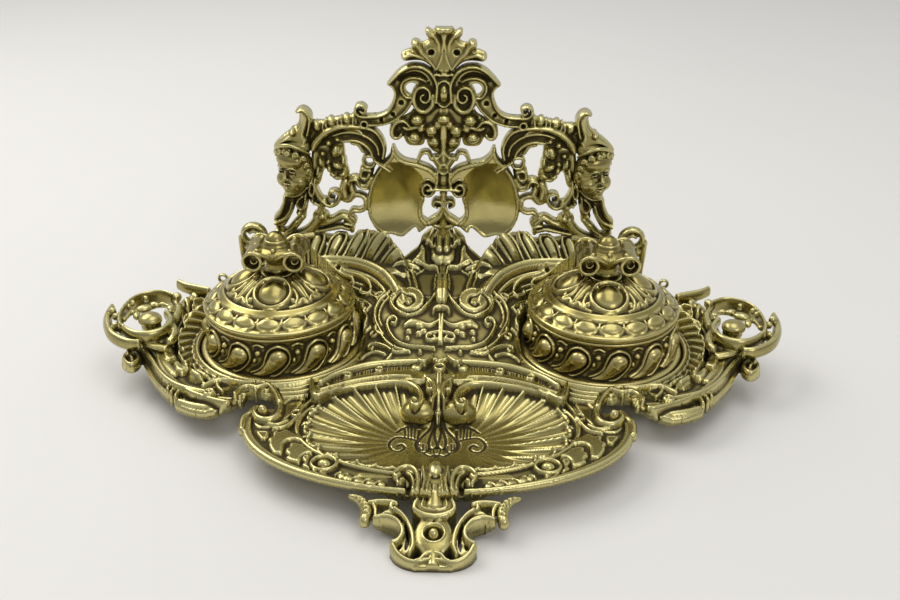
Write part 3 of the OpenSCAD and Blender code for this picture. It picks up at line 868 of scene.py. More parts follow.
def dish_relief():
    """Front shell dish from above: fluted bowl, border of lapped leaves, arch behind, scrolls in front."""
    R = Relief(-71, 71, -59, 17.2, 0.32)
    R.twin = True
    x, y = np.abs(R.U), R.V
    half = 38 + 1.5 * ramp(y, -14, -30)
    rim = np.hypot(x / 69.4, (y + 18) / half)
    R.B = 12.1 + 0 * x
    R.H = R.B.copy()
    slope = np.hypot(x / 69.4**2, (y + 18) / half**2) / np.maximum(rim, 0.1)
    R.S = (rim - 1) / np.maximum(slope, 0.012)
    inset = -R.S
    wide = 1.2 + 2.0 * np.clip((x - 20) / 42, 0, 1)
    edge = 1.5 * ramp(inset, wide + 0.5, wide - 0.1) - 1.1 * np.clip((1.0 - inset) / 1.0, 0, 1) ** 2
    R.H = np.where(rim > 0.8, 12.1 + edge, R.H)
    R.S = np.maximum(R.S, np.minimum(x - 46, y + 9.5) * 0.8)
    # scalloped bowl with fans of ridges spreading from its floor
    bowl = ((x / 46) ** 2.4 + (np.abs(y + 20.1) / 26) ** 2.4) ** (1 / 2.4)
    turn = np.degrees(np.arctan2(y + 22, x - 9))
    away = np.hypot(x - 9, y + 22)
    cusps = [-84, -64, -50, -35, -21, -8, 5, 18, 31, 45, 59, 74, 92, 118]
    phase = np.interp(turn, cusps, np.arange(14) - 0.5 * (np.arange(14) == 0))
    part = phase % 1.0
    wave = np.sin(np.pi * part)
    lip = bowl - 0.052 * (np.sqrt(wave) - 0.6) * (0.3 + 0.7 * ramp(turn, -80, -30))
    smooth_floor = 13.2 - 6.0 * np.clip(1 - lip**2.6, 0, 1)
    smooth_floor += 1.3 * ramp(y, -16, 2) * ramp(bowl, 0.45, 0.9)
    apron = ramp(y, -13, -7) * ramp(x, 12, 8)
    smooth_floor += (13.4 - smooth_floor) * apron
    fade = ramp(away, 11, 24) * ramp(bowl, 0.5, 0.92) * (1 - apron) * (0.35 + 0.65 * ramp(turn, -75,
        -35)) * ramp(turn, 121, 112) * np.where(y > -6, ramp(lip, 1.0, 0.97), 1)
    floor = smooth_floor + fade * (1.3 * np.clip(1 - wave / 0.5, 0, 1) ** 1.4 + 0.3 * bump(part, 0.36,
        0.09) + 0.25 * bump(part, 0.66, 0.09) - 0.45 * wave)
    floor += 0.8 * bump(lip, 0.992, 0.022)
    floor -= 1.2 * bump(lip, 1.035, 0.035)
    R.H = np.where(lip < 1.05, floor, R.H)
    R.B = np.where(lip < 1.0, smooth_floor, R.B)
    R.tone = 0.2 * (lip >= 1.0)
    thin = np.hypot(x / 49.6, (y + 20) / 28.4)
    line = bump(thin, 1.0, 0.019)
    R.H = np.maximum(R.H, np.where((y < 4) & (line > 0), 12.1 + 1.5 * line, 0))
    # lapped leaves, the ringed pearl and the small coins of the border
    R.patch([(63.2, -25.2), (58.6, -24.9), (58.4, -28.9), (60.3, -29.9), (61.7, -28.4)], 1.5, edge=0.8,
            lip=0.25)
    R.patch([(57.7, -33.6), (58.0, -31.3), (58.6, -30.3), (58.3, -28.4), (57.3, -27.9), (57.5, -25.3), (56.2,
        -24.2), (54.8, -24.8), (53.2, -23.5), (51.1, -24.1), (49.4, -25.8), (47.6, -26.4), (46.2, -28.5),
        (47.3, -30.6), (49.1, -30.0), (51.0, -30.5), (51.8, -32.4), (51.6, -35.3), (51.9, -37.8), (53.6,
            -38.3), (55.5, -37.7)],
            1.6, edge=1.1, lip=0.3)
    R.patch([(50.8, -40.6), (50.4, -38.8), (51.5, -37.0), (51.5, -34.9), (50.6, -34.3), (50.6, -32.2), (49.2,
        -31.3), (47.6, -31.5), (45.7, -32.3), (43.8, -34.5), (41.8, -35.9), (41.8, -37.8), (43.5, -38.2),
        (44.6, -39.7), (44.9, -42.1), (45.7, -43.3), (47.2, -42.9), (49.0, -42.2)], 1.7, edge=1.1, lip=0.3)
    R.patch([(44.7, -44.6), (44.2, -42.7), (45.2, -40.7), (44.8, -38.7), (43.5, -38.4), (42.0, -38.8), (42.1,
        -41.2), (42.1, -43.6), (41.2, -46.3), (42.8, -46.2)], 1.7, edge=0.9, lip=0.3)
    R.stroke(arc(37.3, -42.9, 4.2, 3.8, 0, 360, 40), 0.8, 2.0, raw=True)
    R.dome(37.3, -42.9, 2.4, 2.0, 2.4)
    R.stroke([(37.2, -46.0), (37.2, -48.2), (37.6, -49.7)], 1.6, 1.5)
    R.stroke([(41.1, -44.0), (39.9, -47.3), (37.9, -49.3)], 0.6, 1.6)
    for place, size in (([(30.7, -49.3)], 1.5), ([(28.6, -50.4)], 1.9), ([(24.9, -51.9)], 1.9), ([(20.9,
        -52.9)], 1.8), ([(17.3, -53.6)], 1.5)):
        R.dome(*place[0], size, size * 1.1, 1.5, angle=-10, power=0.4)
        R.stroke(arc(place[0][0] + 0.3, place[0][1] - 0.1, size + 0.4, size * 1.1 + 0.4, -95, 95, 16), 0.3,
                 1.3, raw=True)
    # arch behind the bowl
    R.patch([(46.4, -0.9), (44.3, 1.3), (39.2, 8.6), (30.9, 14.5), (24.3, 17.4), (14.2, 19.0), (5.3, 19.6),
             (0.7, 19.7), (0.3, 5.0), (10.7, 3.7), (16.7, 4.6), (24.5, 3.1), (32.8, 0.2), (38.2, -4.4),
             (42.5, -7.2), (44.6, -5.8)],
            17.3, edge=0.8, base=0)
    R.stroke([(43.4, -0.4), (38.8, 5.2), (30.5, 10.9), (24.0, 13.6), (14.0, 15.3), (7.2, 15.7), (0.6, 16.0)],
             [1.3, 1.55, 1.6, 1.5], 2.3, base=17.2)
    R.stroke([(42.7, -4.5), (39.1, -2.2), (33.0, 1.3), (24.6, 4.4), (16.8, 5.8), (10.8, 5.6)], 0.55, 1.2,
             base=17.2)
    R.stroke([(40.0, -3.8), (32.9, 0.5), (24.6, 3.3), (16.7, 4.8), (11.0, 3.6), (7.5, -0.6), (6.2, -5.9),
              (7.1, -10.2), (8.8, -11.0), (9.9, -9.1), (9.2, -6.9), (8.1, -7.8)],
             [0.8, 1.3, 1.4, 1.35, 1.1, 0.8, 0.7], [2.4, 2.4, 2.4, 2.6], base=14.4)
    for place, size in (([(33.9, 5.6)], 1.25), ([(22.7, 9.8)], 1.35)):
        R.stroke(arc(place[0][0], place[0][1], size, size, 0, 360, 24), 0.5, 1.5, raw=True, base=17.2)
    for k in range(34):
        t = k / 34
        px, py = smooth_line([(39.6, 1.6), (34.1, 5.9), (27.7, 8.5), (22.8, 10.2), (17.1, 11.5), (11.1,
            12.3)], 12)[int(t * 60)]
        if min(math.hypot(px - q[0][0], py - q[0][1]) for q in ([(33.9, 5.6)], [(22.7, 9.8)])) > 1.9:
            R.groove([(px, py - 0.9), (px + 0.05, py + 0.9)], 0.22, 0.5, ink=0.4)
    R.dome(8.7, 11.9, 2.4, 2.0, 1.6, base=17.2, power=0.4)
    R.stroke([(47.3, 3.4), (46.0, -3.0), (44.4, -6.8), (42.1, -5.6), (40.1, -2.9), (40.6, -0.2), (42.0,
        0.0)], [0.8, 1.2, 1.2, 1.0, 0.7], 2.0, base=15.8)
    # strap and bell flower on the centre line
    R.patch([(-0.3, 25.1), (-2.4, 25.1), (-1.9, 21.1), (-2.8, 17.0), (-6.0, 13.3), (-8.2, 12.5), (-8.1,
        10.6), (-4.8, 10.7), (-2.7, 14.0), (-0.1, 14.6)], 20.0, base=0, lip=0.6)
    R.stroke([(-3.1, 26.2), (-2.3, 23.7), (-2.2, 20.0), (-3.3, 15.6), (-6.0, 12.3), (-7.9, 13.0)], 0.7, 1.2,
             base=20.0)
    R.stroke(arc(0, 9.6, 1.9, 2.0, 0, 360, 24), 0.7, 1.8, raw=True, base=18.4)
    R.patch([(-0.0, 13.6), (-2.7, 13.5), (-3.1, 8.2), (-5.7, 5.0), (-5.4, -2.6), (-2.7, -3.6), (0.4, -6.4)],
            17.6, base=0, edge=1.2)
    R.stroke([(-4.6, 4.5), (-2.3, 1.5), (-1.4, -4.5), (-2.0, -9.4)], [0.7, 1.1, 0.9, 0.5], 1.2, base=17.2)
    floor_base, R.B = R.B, np.interp(y, [-14, -8, 0, 6, 12], [11.6, 12.8, 15.4, 16.8, 17.6])
    R.patch([(0.3, 7.0), (3.0, 7.3), (6.4, 6.8), (5.8, 4.7), (4.2, 2.2), (5.3, -1.3), (3.4, -3.7), (2.6,
        -6.4), (1.9, -9.8), (-0.1, -11.1)], 1.3, edge=0.9, lip=0.2)
    R.stroke([(0.5, 6.9), (0.4, 1.9), (0.2, -3.7), (0.2, -9.2)], [0.9, 1.3, 1.1, 0.5], 2.3)
    R.B = floor_base
    R.dome(8.8, -7.1, 2.2, 2.0, 3.0, base=13.6)
    # engraved palmette and hatched scrolls on the floor
    for line in ([(0.5, -6.8), (2.9, -13.7), (6.2, -19.3), (7.0, -23.7), (5.6, -26.3)], [(0.5, -7.3), (1.2,
        -15.9), (0.1, -22.5), (-0.4, -25.1)],
                 [(6.5, -11.5), (10.0, -12.2), (12.8, -13.9), (14.6, -16.2)], [(7.1, -20.5), (10.3, -19.4),
                     (14.2, -19.0), (16.5, -21.8), (16.8, -25.0), (15.2, -27.6), (12.7, -27.6), (11.4,
                         -25.4), (12.6, -23.3), (14.0, -24.4)],
                 [(6.7, -14.4), (6.9, -18.3), (7.6, -22.6), (6.8, -26.4), (4.9, -27.9), (3.4, -27.3), (2.8,
                     -24.7)], [(4.3, -28.9), (2.3, -30.5), (0.5, -29.4), (-0.6, -30.9)],
                 [(0.4, -9.1), (2.7, -18.2), (2.9, -23.6), (1.6, -25.7), (0.0, -23.5)]):
        R.groove(line, 0.5, 0.5, ink=0.62)
    for line in ([(11.7, -13.9), (11.7, -18.9)], [(10.6, -13.4), (10.4, -19.4)], [(9.5, -13.0), (9.2,
        -19.6)], [(8.3, -12.9), (8.0, -19.6)],
                 [(6.1, -22.6), (6.0, -26.0)], [(5.0, -22.6), (5.0, -26.9)], [(3.8, -23.6), (3.8, -27.3)],
                 [(2.5, -24.7), (2.2, -27.8)],
                 [(1.3, -25.5), (0.9, -28.7)]):
        R.groove(line, 0.3, 0.3, raw=True, ink=0.45)
    # link from the arch to the ear, and the ear's hook with its pearl
    R.patch([(59.1, 2.4), (53.9, 2.8), (47.8, 6.4), (46.2, -0.7), (49.7, -3.5), (53.9, -6.0), (56.3, -9.4),
             (58.2, -3.7)], 14.0, base=0, edge=0.6)
    for line in ([(58.8, 0.8), (53.0, 1.5), (47.7, 4.3)], [(58.0, -2.0), (52.6, -1.2), (46.8, 1.1)], [(56.6,
        -4.7), (52.1, -4.1), (46.2, -2.3)]):
        R.stroke(line, 0.6, 1.1, base=13.9, cut=False)
    R.patch([(57.6, -7.9), (54.2, -4.2), (49.1, -3.5), (50.1, -8.9), (51.5, -13.5), (53.5, -17.0), (54.4,
        -21.5), (57.6, -22.9), (63.3, -22.6), (66.3, -18.5), (64.7, -15.0), (58.9, -15.4), (57.0, -11.4)],
        13.0, base=0)
    R.stroke([(66.4, 3.4), (62.5, 1.2), (59.3, -3.6), (57.1, -9.7), (56.8, -15.0), (58.3, -18.3), (61.3,
        -19.3), (63.9, -17.8), (65.5, -14.8), (65.3, -11.7)], [0.7, 1.1, 1.35, 1.4, 1.2, 0.9],
             2.5, base=13.0)
    R.dome(62.8, -13.8, 2.0, 2.0, 4.2, base=12.6)
    R.dome(63.1, -12.5, 2.8, 2.4, 1.6, base=11.2)
    R.stroke([(68.4, -23.9), (68.9, -18.9), (68.3, -15.5), (66.2, -13.3)], [1.2, 1.5, 1.2], 1.8, base=12.6)
    R.stroke(arc(50.7, -14.1, 1.5, 1.7, 0, 360, 24), 0.55, 1.5, raw=True, base=12.9)
    R.stroke([(57.4, -23.9), (53.3, -22.4), (50.6, -17.3), (48.7, -10.3), (46.2, -5.0)], [0.5, 0.7, 0.7],
             1.5, base=12.9)
    R.stroke([(61.2, -20.0), (56.6, -21.0), (53.3, -18.5)], 0.8, 1.2, base=12.9)
    # front scrolls and the tongue between them
    R.patch([(13.0, -54.5), (13.6, -50.0), (11.3, -46.7), (7.9, -46.1), (5.6, -49.8), (4.9, -55.2), (5.9,
        -60.6), (7.9, -64.1), (10.7, -66.0), (8.8, -62.4), (7.3, -58.8), (7.0, -54.4), (7.7, -50.8), (10.0,
            -48.5), (11.6, -50.9), (10.4, -53.1), (11.4, -54.9)], 14.4, base=0, edge=0.9)
    R.stroke([(11.1, -54.0), (10.1, -52.8), (10.1, -50.8), (11.6, -50.4), (12.7, -51.8), (13.2, -50.0),
              (11.8, -47.4), (9.0, -46.3), (6.6, -48.1), (5.5, -52.5), (5.6, -57.9), (6.8, -62.3), (8.6,
                  -64.9), (11.5, -66.0)], [0.5, 0.7, 0.8, 0.9, 0.9, 0.9, 0.8, 0.7],
             1.6, base=14.2)
    R.stroke([(9.5, -48.8), (7.8, -50.8), (6.9, -54.8), (7.3, -59.7), (8.7, -62.8)], [0.5, 0.6, 0.6, 0.5],
             1.2, base=13.8, cut=False)
    R.sink([(11.6, -50.9), (10.3, -48.6), (8.3, -49.9), (7.6, -53.5), (7.9, -57.6), (9.3, -60.2), (9.6,
        -56.7), (10.1, -53.1)], 2.6)
    R.patch([(1.2, -46.0), (4.2, -46.4), (3.7, -53.0), (4.1, -58.4), (5.2, -63.6), (6.5, -64.9), (3.7,
        -67.0), (0.6, -67.5)], 14.6, base=0, edge=0.7)
    R.stroke([(4.1, -46.6), (3.5, -53.0), (4.0, -58.8), (5.0, -63.2), (4.3, -65.7), (0.6, -66.2)], 0.6, 1.4,
             base=14.2)
    R.stroke([(2.2, -53.9), (2.5, -58.3), (3.2, -62.7), (3.2, -64.4), (0.6, -65.0)], 0.45, 1.3, base=14.2)
    R.dome(0, -47.0, 2.3, 4.0, 1.9, base=14.4, power=0.4)
    R.sink([(-0.9, -38.6), (0, -37.4), (0.9, -38.6), (0.9, -40.4), (0, -41.6), (-0.9, -40.4)], 1.6, 0.4)
    return R


def foot_relief():
    """The front foot: a sloping openwork cartouche with an oval boss between two C straps."""
    R = Relief(-31, 31, -80, -46, 0.26)
    R.twin = True
    R.B = np.interp(R.V, [-80, -74, -66, -57, -50, -46], [1.6, 4.0, 6.0, 9.0, 11.0, 12.0])
    R.H = R.B.copy()
    R.patch([(13.2, -72.5), (12.6, -74.4), (10.8, -77.2), (7.0, -79.5), (3.2, -80.7), (0.2, -81.0), (0.3,
        -77.4), (3.9, -78.1), (7.3, -77.4), (10.1, -75.2), (11.6, -72.1)], 0.6, edge=0.5)
    R.stroke([(12.7, -73.4), (11.1, -76.2), (8.1, -78.3), (5.1, -78.9), (2.3, -78.3), (0.3, -78.2)], [0.9,
        0.9, 0.8, 0.8], 1.9)
    R.stroke([(12.6, -73.0), (10.8, -71.9), (9.8, -69.7), (10.2, -67.2), (12.0, -64.9), (14.2, -63.8), (16.4,
        -63.6), (18.8, -64.1)], [0.9, 1.0, 1.0, 1.0, 0.9], 2.3)
    R.stroke([(7.2, -76.4), (6.3, -73.7), (6.8, -69.3), (8.1, -65.9), (10.2, -62.9), (12.6, -61.0)], [0.8,
        0.95, 1.0, 0.9, 0.9], 2.3)
    R.stroke([(9.0, -75.4), (8.1, -73.1), (8.5, -69.4), (9.3, -66.2)], 1.6, 0.3)
    R.carve([(8.5, -74.9), (7.6, -72.5), (7.9, -69.1), (8.9, -65.6), (9.5, -66.2), (8.7, -70.0), (8.9,
        -73.1)])
    R.patch([(20.9, -62.2), (19.8, -62.8), (17.1, -61.5), (15.6, -60.3), (12.8, -60.1), (12.1, -62.7), (16.0,
        -62.7), (18.6, -63.7)], 1.0)
    R.stroke([(20.9, -58.5), (17.9, -58.0), (14.0, -58.1), (12.3, -58.7)], [0.8, 0.9, 0.9], 1.8)
    R.stroke([(20.1, -58.3), (18.9, -60.6), (18.7, -63.0)], [0.8, 0.7], 1.6)
    R.stroke([(13.5, -58.1), (13.9, -59.9), (12.7, -61.4)], [0.9, 0.9], 1.7)
    R.stroke([(27.6, -55.5), (24.9, -56.5), (22.8, -58.6), (21.8, -61.3), (22.1, -64.3)], [0.4, 1.0, 1.5,
        1.9, 1.7], [0.8, 1.6, 2.2, 2.6, 2.2])
    for line in ([(25.3, -56.3), (25.6, -57.7)], [(23.9, -57.2), (24.2, -58.8)], [(22.7, -58.4), (23.3,
        -60.0)], [(21.9, -59.9), (23.0, -61.0)],
                 [(21.5, -61.4), (23.1, -62.0)], [(21.3, -63.0), (23.2, -63.1)]):
        R.groove(line, 0.4, 0.6)
    boss = -69.9
    R.dome(0, boss, 6.0, 7.4, 2.6, power=0.22)
    R.pit(0, boss - 0.2, 3.3, 1.7)
    R.stroke(arc(0, boss - 0.2, 3.5, 3.5, 0, 360, 40), 0.35, 2.9, raw=True)
    R.dome(0, boss - 0.2, 1.9, 1.9, 3.6)
    R.groove([(0, boss + 3.6), (0, boss + 6.4)], 0.3, 0.4, raw=True)
    R.stroke([(0, boss - 7), (0, boss - 10)], 2.0, 2.0)
    R.stroke([(0.7, -76.3), (2.4, -76.8), (3.8, -78.3), (5.1, -78.8)], [1.0, 0.9, 0.7, 0.5], 2.2)
    R.stroke([(5.6, -72.7), (6.3, -70.9)], 1.2, 1.6)
    # tongue that runs down from the dish: a bell between two flared straps over a crescent
    foot_base, R.B = R.B, np.interp(R.V, [-66, -61, -57, -50, -46], [8.6, 10.0, 11.6, 13.2, 13.8])
    R.patch([(0, -46), (4.6, -46), (5.0, -55), (7.0, -61.4), (4.4, -64.2), (0, -65.2)], 0.4, edge=0.5)
    R.stroke([(4.2, -46), (4.5, -52), (4.8, -57), (6.4, -61.6), (3.6, -64), (0, -64.8)], [0.6, 0.6, 0.7, 0.8,
        1.0, 1.1], 1.3)
    R.stroke([(2.4, -52), (3.0, -57), (4.0, -61.0), (1.8, -62.4), (0, -62.7)], 0.4, 1.1)
    R.stroke([(0, -54.4), (0, -57.5), (0, -60.4)], [1.5, 2.1, 2.7], [1.6, 2.2, 1.8])
    R.B = foot_base
    R.stroke([(10, -50), (16, -49), (24, -48.5)], 2.4, 0.8)
    return R


# ---------------------------------------------------------------- bank behind the pots
def bank_relief():
    """The sloping back of the tray: scrolled centre panel between two ribbed, gadroon-rimmed round hollows."""
    R = Relief(-84, 84, 9.5, 78.8, 0.33)
    R.twin = True
    x, y = np.abs(R.U), R.V
    pot = np.hypot(x - POT_X, y - POT_Y)
    fan = np.hypot(x - SHELL[0], y - SHELL[1])
    R.B = np.maximum(ground(R.U, R.V), 13.0)
    top_y = np.interp(x, [0, 6, 12, 15, 20, 30, 45, 62, 76, 84], [78.5, 78.2, 73, 73.5, 75.5, 76.5, 76.5, 76,
        74, 70])
    R.H = R.B.copy()
    R.S = np.maximum(np.maximum(30.8 - pot, y - top_y), np.maximum(10.5 - y, x - 79))
    R.S = np.maximum(R.S, np.where(y < 40, x - 42, -9))
    # ribs of the round hollow, all following its edge
    for radius, half, rise, start in ((29.7, 1.3, 1.4, 43.5), (28.4, 0.5, 0.7, 44), (26.8, 0.75, 1.3, 43),
                                      (24.6, 0.4, 0.6, 46), (23.0, 0.5, 0.9, 46), (19.6, 0.5, 0.9, 46)):
        R.H += np.where(fan < 33, rise * bump(fan, radius, half) * ramp(y, start, start + 1.5), 0)
    R.H -= np.where(fan < 29.6, 0.5 * bump(fan, 25.5, 0.7) * ramp(y, 44, 47), 0)
    # gadroons: fat rounded drops leaning to the centre, each in a raised outline
    angle = np.degrees(np.arctan2(y - SHELL[1], x - SHELL[0]))
    out = 30.6 + (fan - np.interp(angle, [100, 118, 133, 143, 149], [30.6, 31.0, 32.4, 34.2,
        35.8])) / np.interp(angle, [120, 135, 147], [1, 1.25, 1.5])
    raised_rim = 2.6 * np.clip((out - 31) / 5, 0, 1) * ramp(angle, 98, 116) * ramp(angle, 150, 136)
    R.H += raised_rim
    R.B = R.B + raised_rim
    phase = ((angle - 1.05 * (fan - 30.5) - 74) / 14.6 + 0.5) % 1.0
    side = (phase - 0.5) * 14.6 * math.pi / 180 * np.clip(fan, 30, 42) / np.interp(out, [30.6, 34.6], [0.78,
        1.0])
    tip = np.hypot(side, np.maximum(out - 34.4, 0))
    zone = ramp(out, 30.4, 31.0) * ramp(y, 53, 57) * (angle > 20) * (angle < 148)
    R.H += zone * (2.3 * np.sqrt(np.clip(1 - (tip / 2.0) ** 2, 0, 1)) * ramp(out, 30.4,
        32.0) - 0.9 * bump(tip, 2.35, 0.45) + 1.2 * bump(tip, 3.1, 0.7) - 0.9 * ramp(tip, 3.5, 4.2))
    R.ink = 0.3 * zone * np.maximum(bump(tip, 2.35, 0.6), ramp(tip, 3.6, 4.2))
    R.S = np.where((out > 34.4) & (y > 60) & (angle > 20) & (angle < 134) & (x > 10), np.maximum(R.S,
        tip - 3.9), R.S)
    # centre: bell, drop and the dark shield
    R.sink([(-1.2, 64.1), (-2.9, 62.0), (-7.7, 60.6), (-10.6, 58.5), (-11.1, 54.5), (-9.6, 48.7), (-6.6,
        46.0), (-3.6, 45.8), (-0.8, 46.5)], 1.0, 0.6)
    R.patch([(-1.6, 79.9), (-4.6, 79.9), (-8.2, 76.6), (-9.9, 73.2), (-8.1, 72.1), (-4.3, 68.2), (-1.3,
        67.2)], 3.2, edge=1.0)
    R.stroke([(-1.6, 78.4), (-1.5, 73.0), (-1.3, 67.6)], [2.4, 1.8, 2.2], 4.6)
    R.stroke([(-4.2, 77.6), (-5.1, 74.0), (-6.8, 71.1)], [0.9, 1.0, 0.7], 3.6)
    R.groove([(-3.1, 79.5), (-3.5, 73.5), (-4.0, 69.9)], 0.5, 1.2)
    R.dome(0, -1.2, 63.7, 3.6, 3.4, 3.6)
    R.stroke([(-1.3, 66.7), (-1.3, 68.1)], 3.8, 2.6)
    R.dome(0, -1.2, 61.8, 1.6, 3.0, 2.2)
    R.stroke([(-1.1, 56.1), (-0.9, 51.2), (-0.8, 45.7), (-0.7, 42.7)], [0.9, 1.7, 2.1, 1.6], [1.6, 3.2, 3.6,
        2.6])
    R.stroke([(-2.6, 56.5), (-3.0, 51.6), (-2.6, 46.9)], 0.5, 1.2)
    # stepped bracket straps round the shield
    R.patch([(2.0, 61.2), (5.6, 61.9), (6.8, 63.8), (7.3, 69.1), (9.2, 71.2), (10.1, 67.0), (14.1, 61.0),
             (13.1, 57.7), (11.6, 59.1), (11.0, 62.8), (6.2, 60.1), (3.2, 59.8), (1.4, 57.4)], 1.6, edge=0.7,
             lip=0.3)
    R.stroke([(12.7, 59.1), (11.5, 55.4), (10.5, 51.9), (9.9, 47.9)], 0.8, 1.5)
    R.stroke([(14.0, 56.1), (13.1, 54.1), (12.7, 50.0)], 0.45, 0.9)
    # big volutes
    R.patch([(1.7, 50.6), (2.2, 45.9), (4.5, 40.6), (7.8, 37.2), (13.1, 36.0), (17.8, 37.9), (20.7, 42.2),
             (21.3, 46.2), (19.9, 48.4), (17.0, 47.6), (13.4, 49.8), (10.0, 48.5), (7.7, 46.4), (6.5, 43.4),
             (6.8, 40.5), (5.2, 43.2), (3.3, 47.4), (2.7, 50.3)], 2.2, edge=0.9, lip=0.6)
    R.groove([(2.6, 48.4), (4.1, 44.1), (6.4, 40.4), (9.2, 37.8), (13.1, 37.1), (17.0, 39.4), (18.7, 43.1),
              (17.6, 45.4), (14.5, 45.2), (11.8, 44.2), (11.2, 41.5), (13.1, 39.9), (14.7, 41.2)], 0.6, 1.3,
              ink=0.2)
    R.dome(13.3, 41.3, 1.3, 1.1, 3.0)
    # cap and stem with its double scroll foot
    R.stroke([(-3.1, 36.8), (-2.2, 38.1), (-0.6, 38.6)], [0.6, 1.0, 1.1], 2.6)
    R.dome(0, -0.6, 37.7, 2.4, 1.3, 2.4)
    R.stroke([(-0.6, 35.7), (-0.5, 31.4), (-0.4, 27.6), (-0.3, 23.8)], [0.5, 0.6, 0.7, 1.0], 1.8)
    R.stroke([(-0.5, 34.7), (1.9, 32.5), (4.8, 31.1), (8.2, 32.0), (11.7, 33.2), (14.0, 32.7)], [0.5, 0.6,
        0.9, 1.5, 1.7, 0.9], [1.2, 1.4, 1.6, 1.9, 1.8, 1.0])
    R.dome(8.5, 31.1, 2.0, 1.3, 1.9, angle=20)
    R.dome(6.6, 28.6, 1.6, 1.2, 1.7)
    R.dome(8.6, 27.9, 1.5, 1.2, 1.6)
    R.dome(12.6, 29.4, 1.4, 1.1, 1.5)
    R.dome(12.9, 26.7, 1.1, 0.9, 1.3)
    R.stroke([(-0.4, 28.2), (2.0, 27.9), (4.9, 27.2), (5.4, 25.3), (3.8, 24.6), (2.1, 25.4), (2.6, 26.4)],
             [0.5, 0.6, 0.6, 0.5], 1.6)
    R.patch([(-0.3, 26.3), (-3.1, 26.0), (-5.9, 25.2), (-5.3, 24.4), (-0.3, 23.8)], 1.2)
    # cartouche lines round the leaf sprays, and the outer corner scrolls
    R.stroke([(2.2, 21.0), (7.2, 21.8), (12.3, 22.8), (16.9, 25.5), (19.8, 29.8), (21.3, 34.3), (20.4, 36.7),
              (18.7, 36.8), (17.5, 35.2), (18.2, 33.7), (19.5, 34.3)], [0.5, 0.7, 0.7, 0.8, 0.8, 0.6, 0.5],
              1.8)
    R.stroke([(12.3, 21.0), (17.4, 23.2), (20.9, 26.4), (23.8, 30.5), (25.6, 32.4), (26.2, 35.3)], [0.4, 0.7,
        0.7, 0.6], 1.4)
    R.stroke([(21.5, 50.0), (24.7, 47.7), (26.5, 43.5), (26.3, 38.1), (24.4, 33.3), (22.7, 30.1)], [0.7, 0.8,
        0.8, 0.6], 1.6)
    R.stroke([(19.3, 48.6), (22.9, 46.2), (24.6, 42.4), (24.7, 38.1), (23.6, 35.0)], [0.4, 0.5, 0.5], 1.1)
    R.dome(7.8, 20.1, 1.0, 0.8, 1.7)
    R.stroke([(11.7, 20.6), (17.4, 21.4), (21.4, 24.7), (24.9, 26.8), (27.5, 27.4), (28.4, 26.2), (26.9,
        25.0), (26.3, 25.8)], [0.4, 0.6, 0.6, 0.5], 1.5)
    R.stroke([(21.4, 21.6), (25.4, 23.8), (28.9, 23.6), (30.6, 22.7)], 0.5, 1.2)
    R.stroke(arc(33.3, 48.5, 1.3, 1.3, 0, 360, 20), 0.5, 1.5, raw=True)
    R.stroke(arc(26.3, 31.9, 1.6, 1.0, 0, 360, 20), 0.45, 1.2, raw=True)
    R.stroke([(28.0, 35.4), (30.9, 35.3), (34.3, 49.8), (31.0, 38.0), (29.9, 41.0), (31.8, 44.2), (30.7,
        45.8)], [0.5, 0.7, 0.6, 0.5], 1.4)
    R.stroke([(28.6, 46.3), (31.2, 44.6), (35.4, 52.9), (36.9, 55.2)], 0.5, 1.2)
    # leafy scrolls inside the round hollows
    R.stroke([(48.4, 65.2), (42.1, 62.2), (38.4, 60.9), (36.8, 59.4), (38.4, 59.1)], [0.9, 0.8, 0.7, 0.5],
             1.7)
    R.stroke([(40.8, 62.8), (34.1, 60.2), (30.1, 56.6), (29.4, 53.8), (31.5, 52.9), (34.0, 55.1), (33.5,
        56.5)], [0.6, 0.8, 0.8, 0.6], 1.8)
    R.stroke(arc(25.7, 50.5, 1.6, 1.2, 0, 360, 20), 0.5, 1.3, raw=True)
    R.dome(43.4, 64.3, 4.4, 3.0, 0.9, power=0.3)
    R.pit(43.4, 64.4, 1.1, 1.8)
    return R


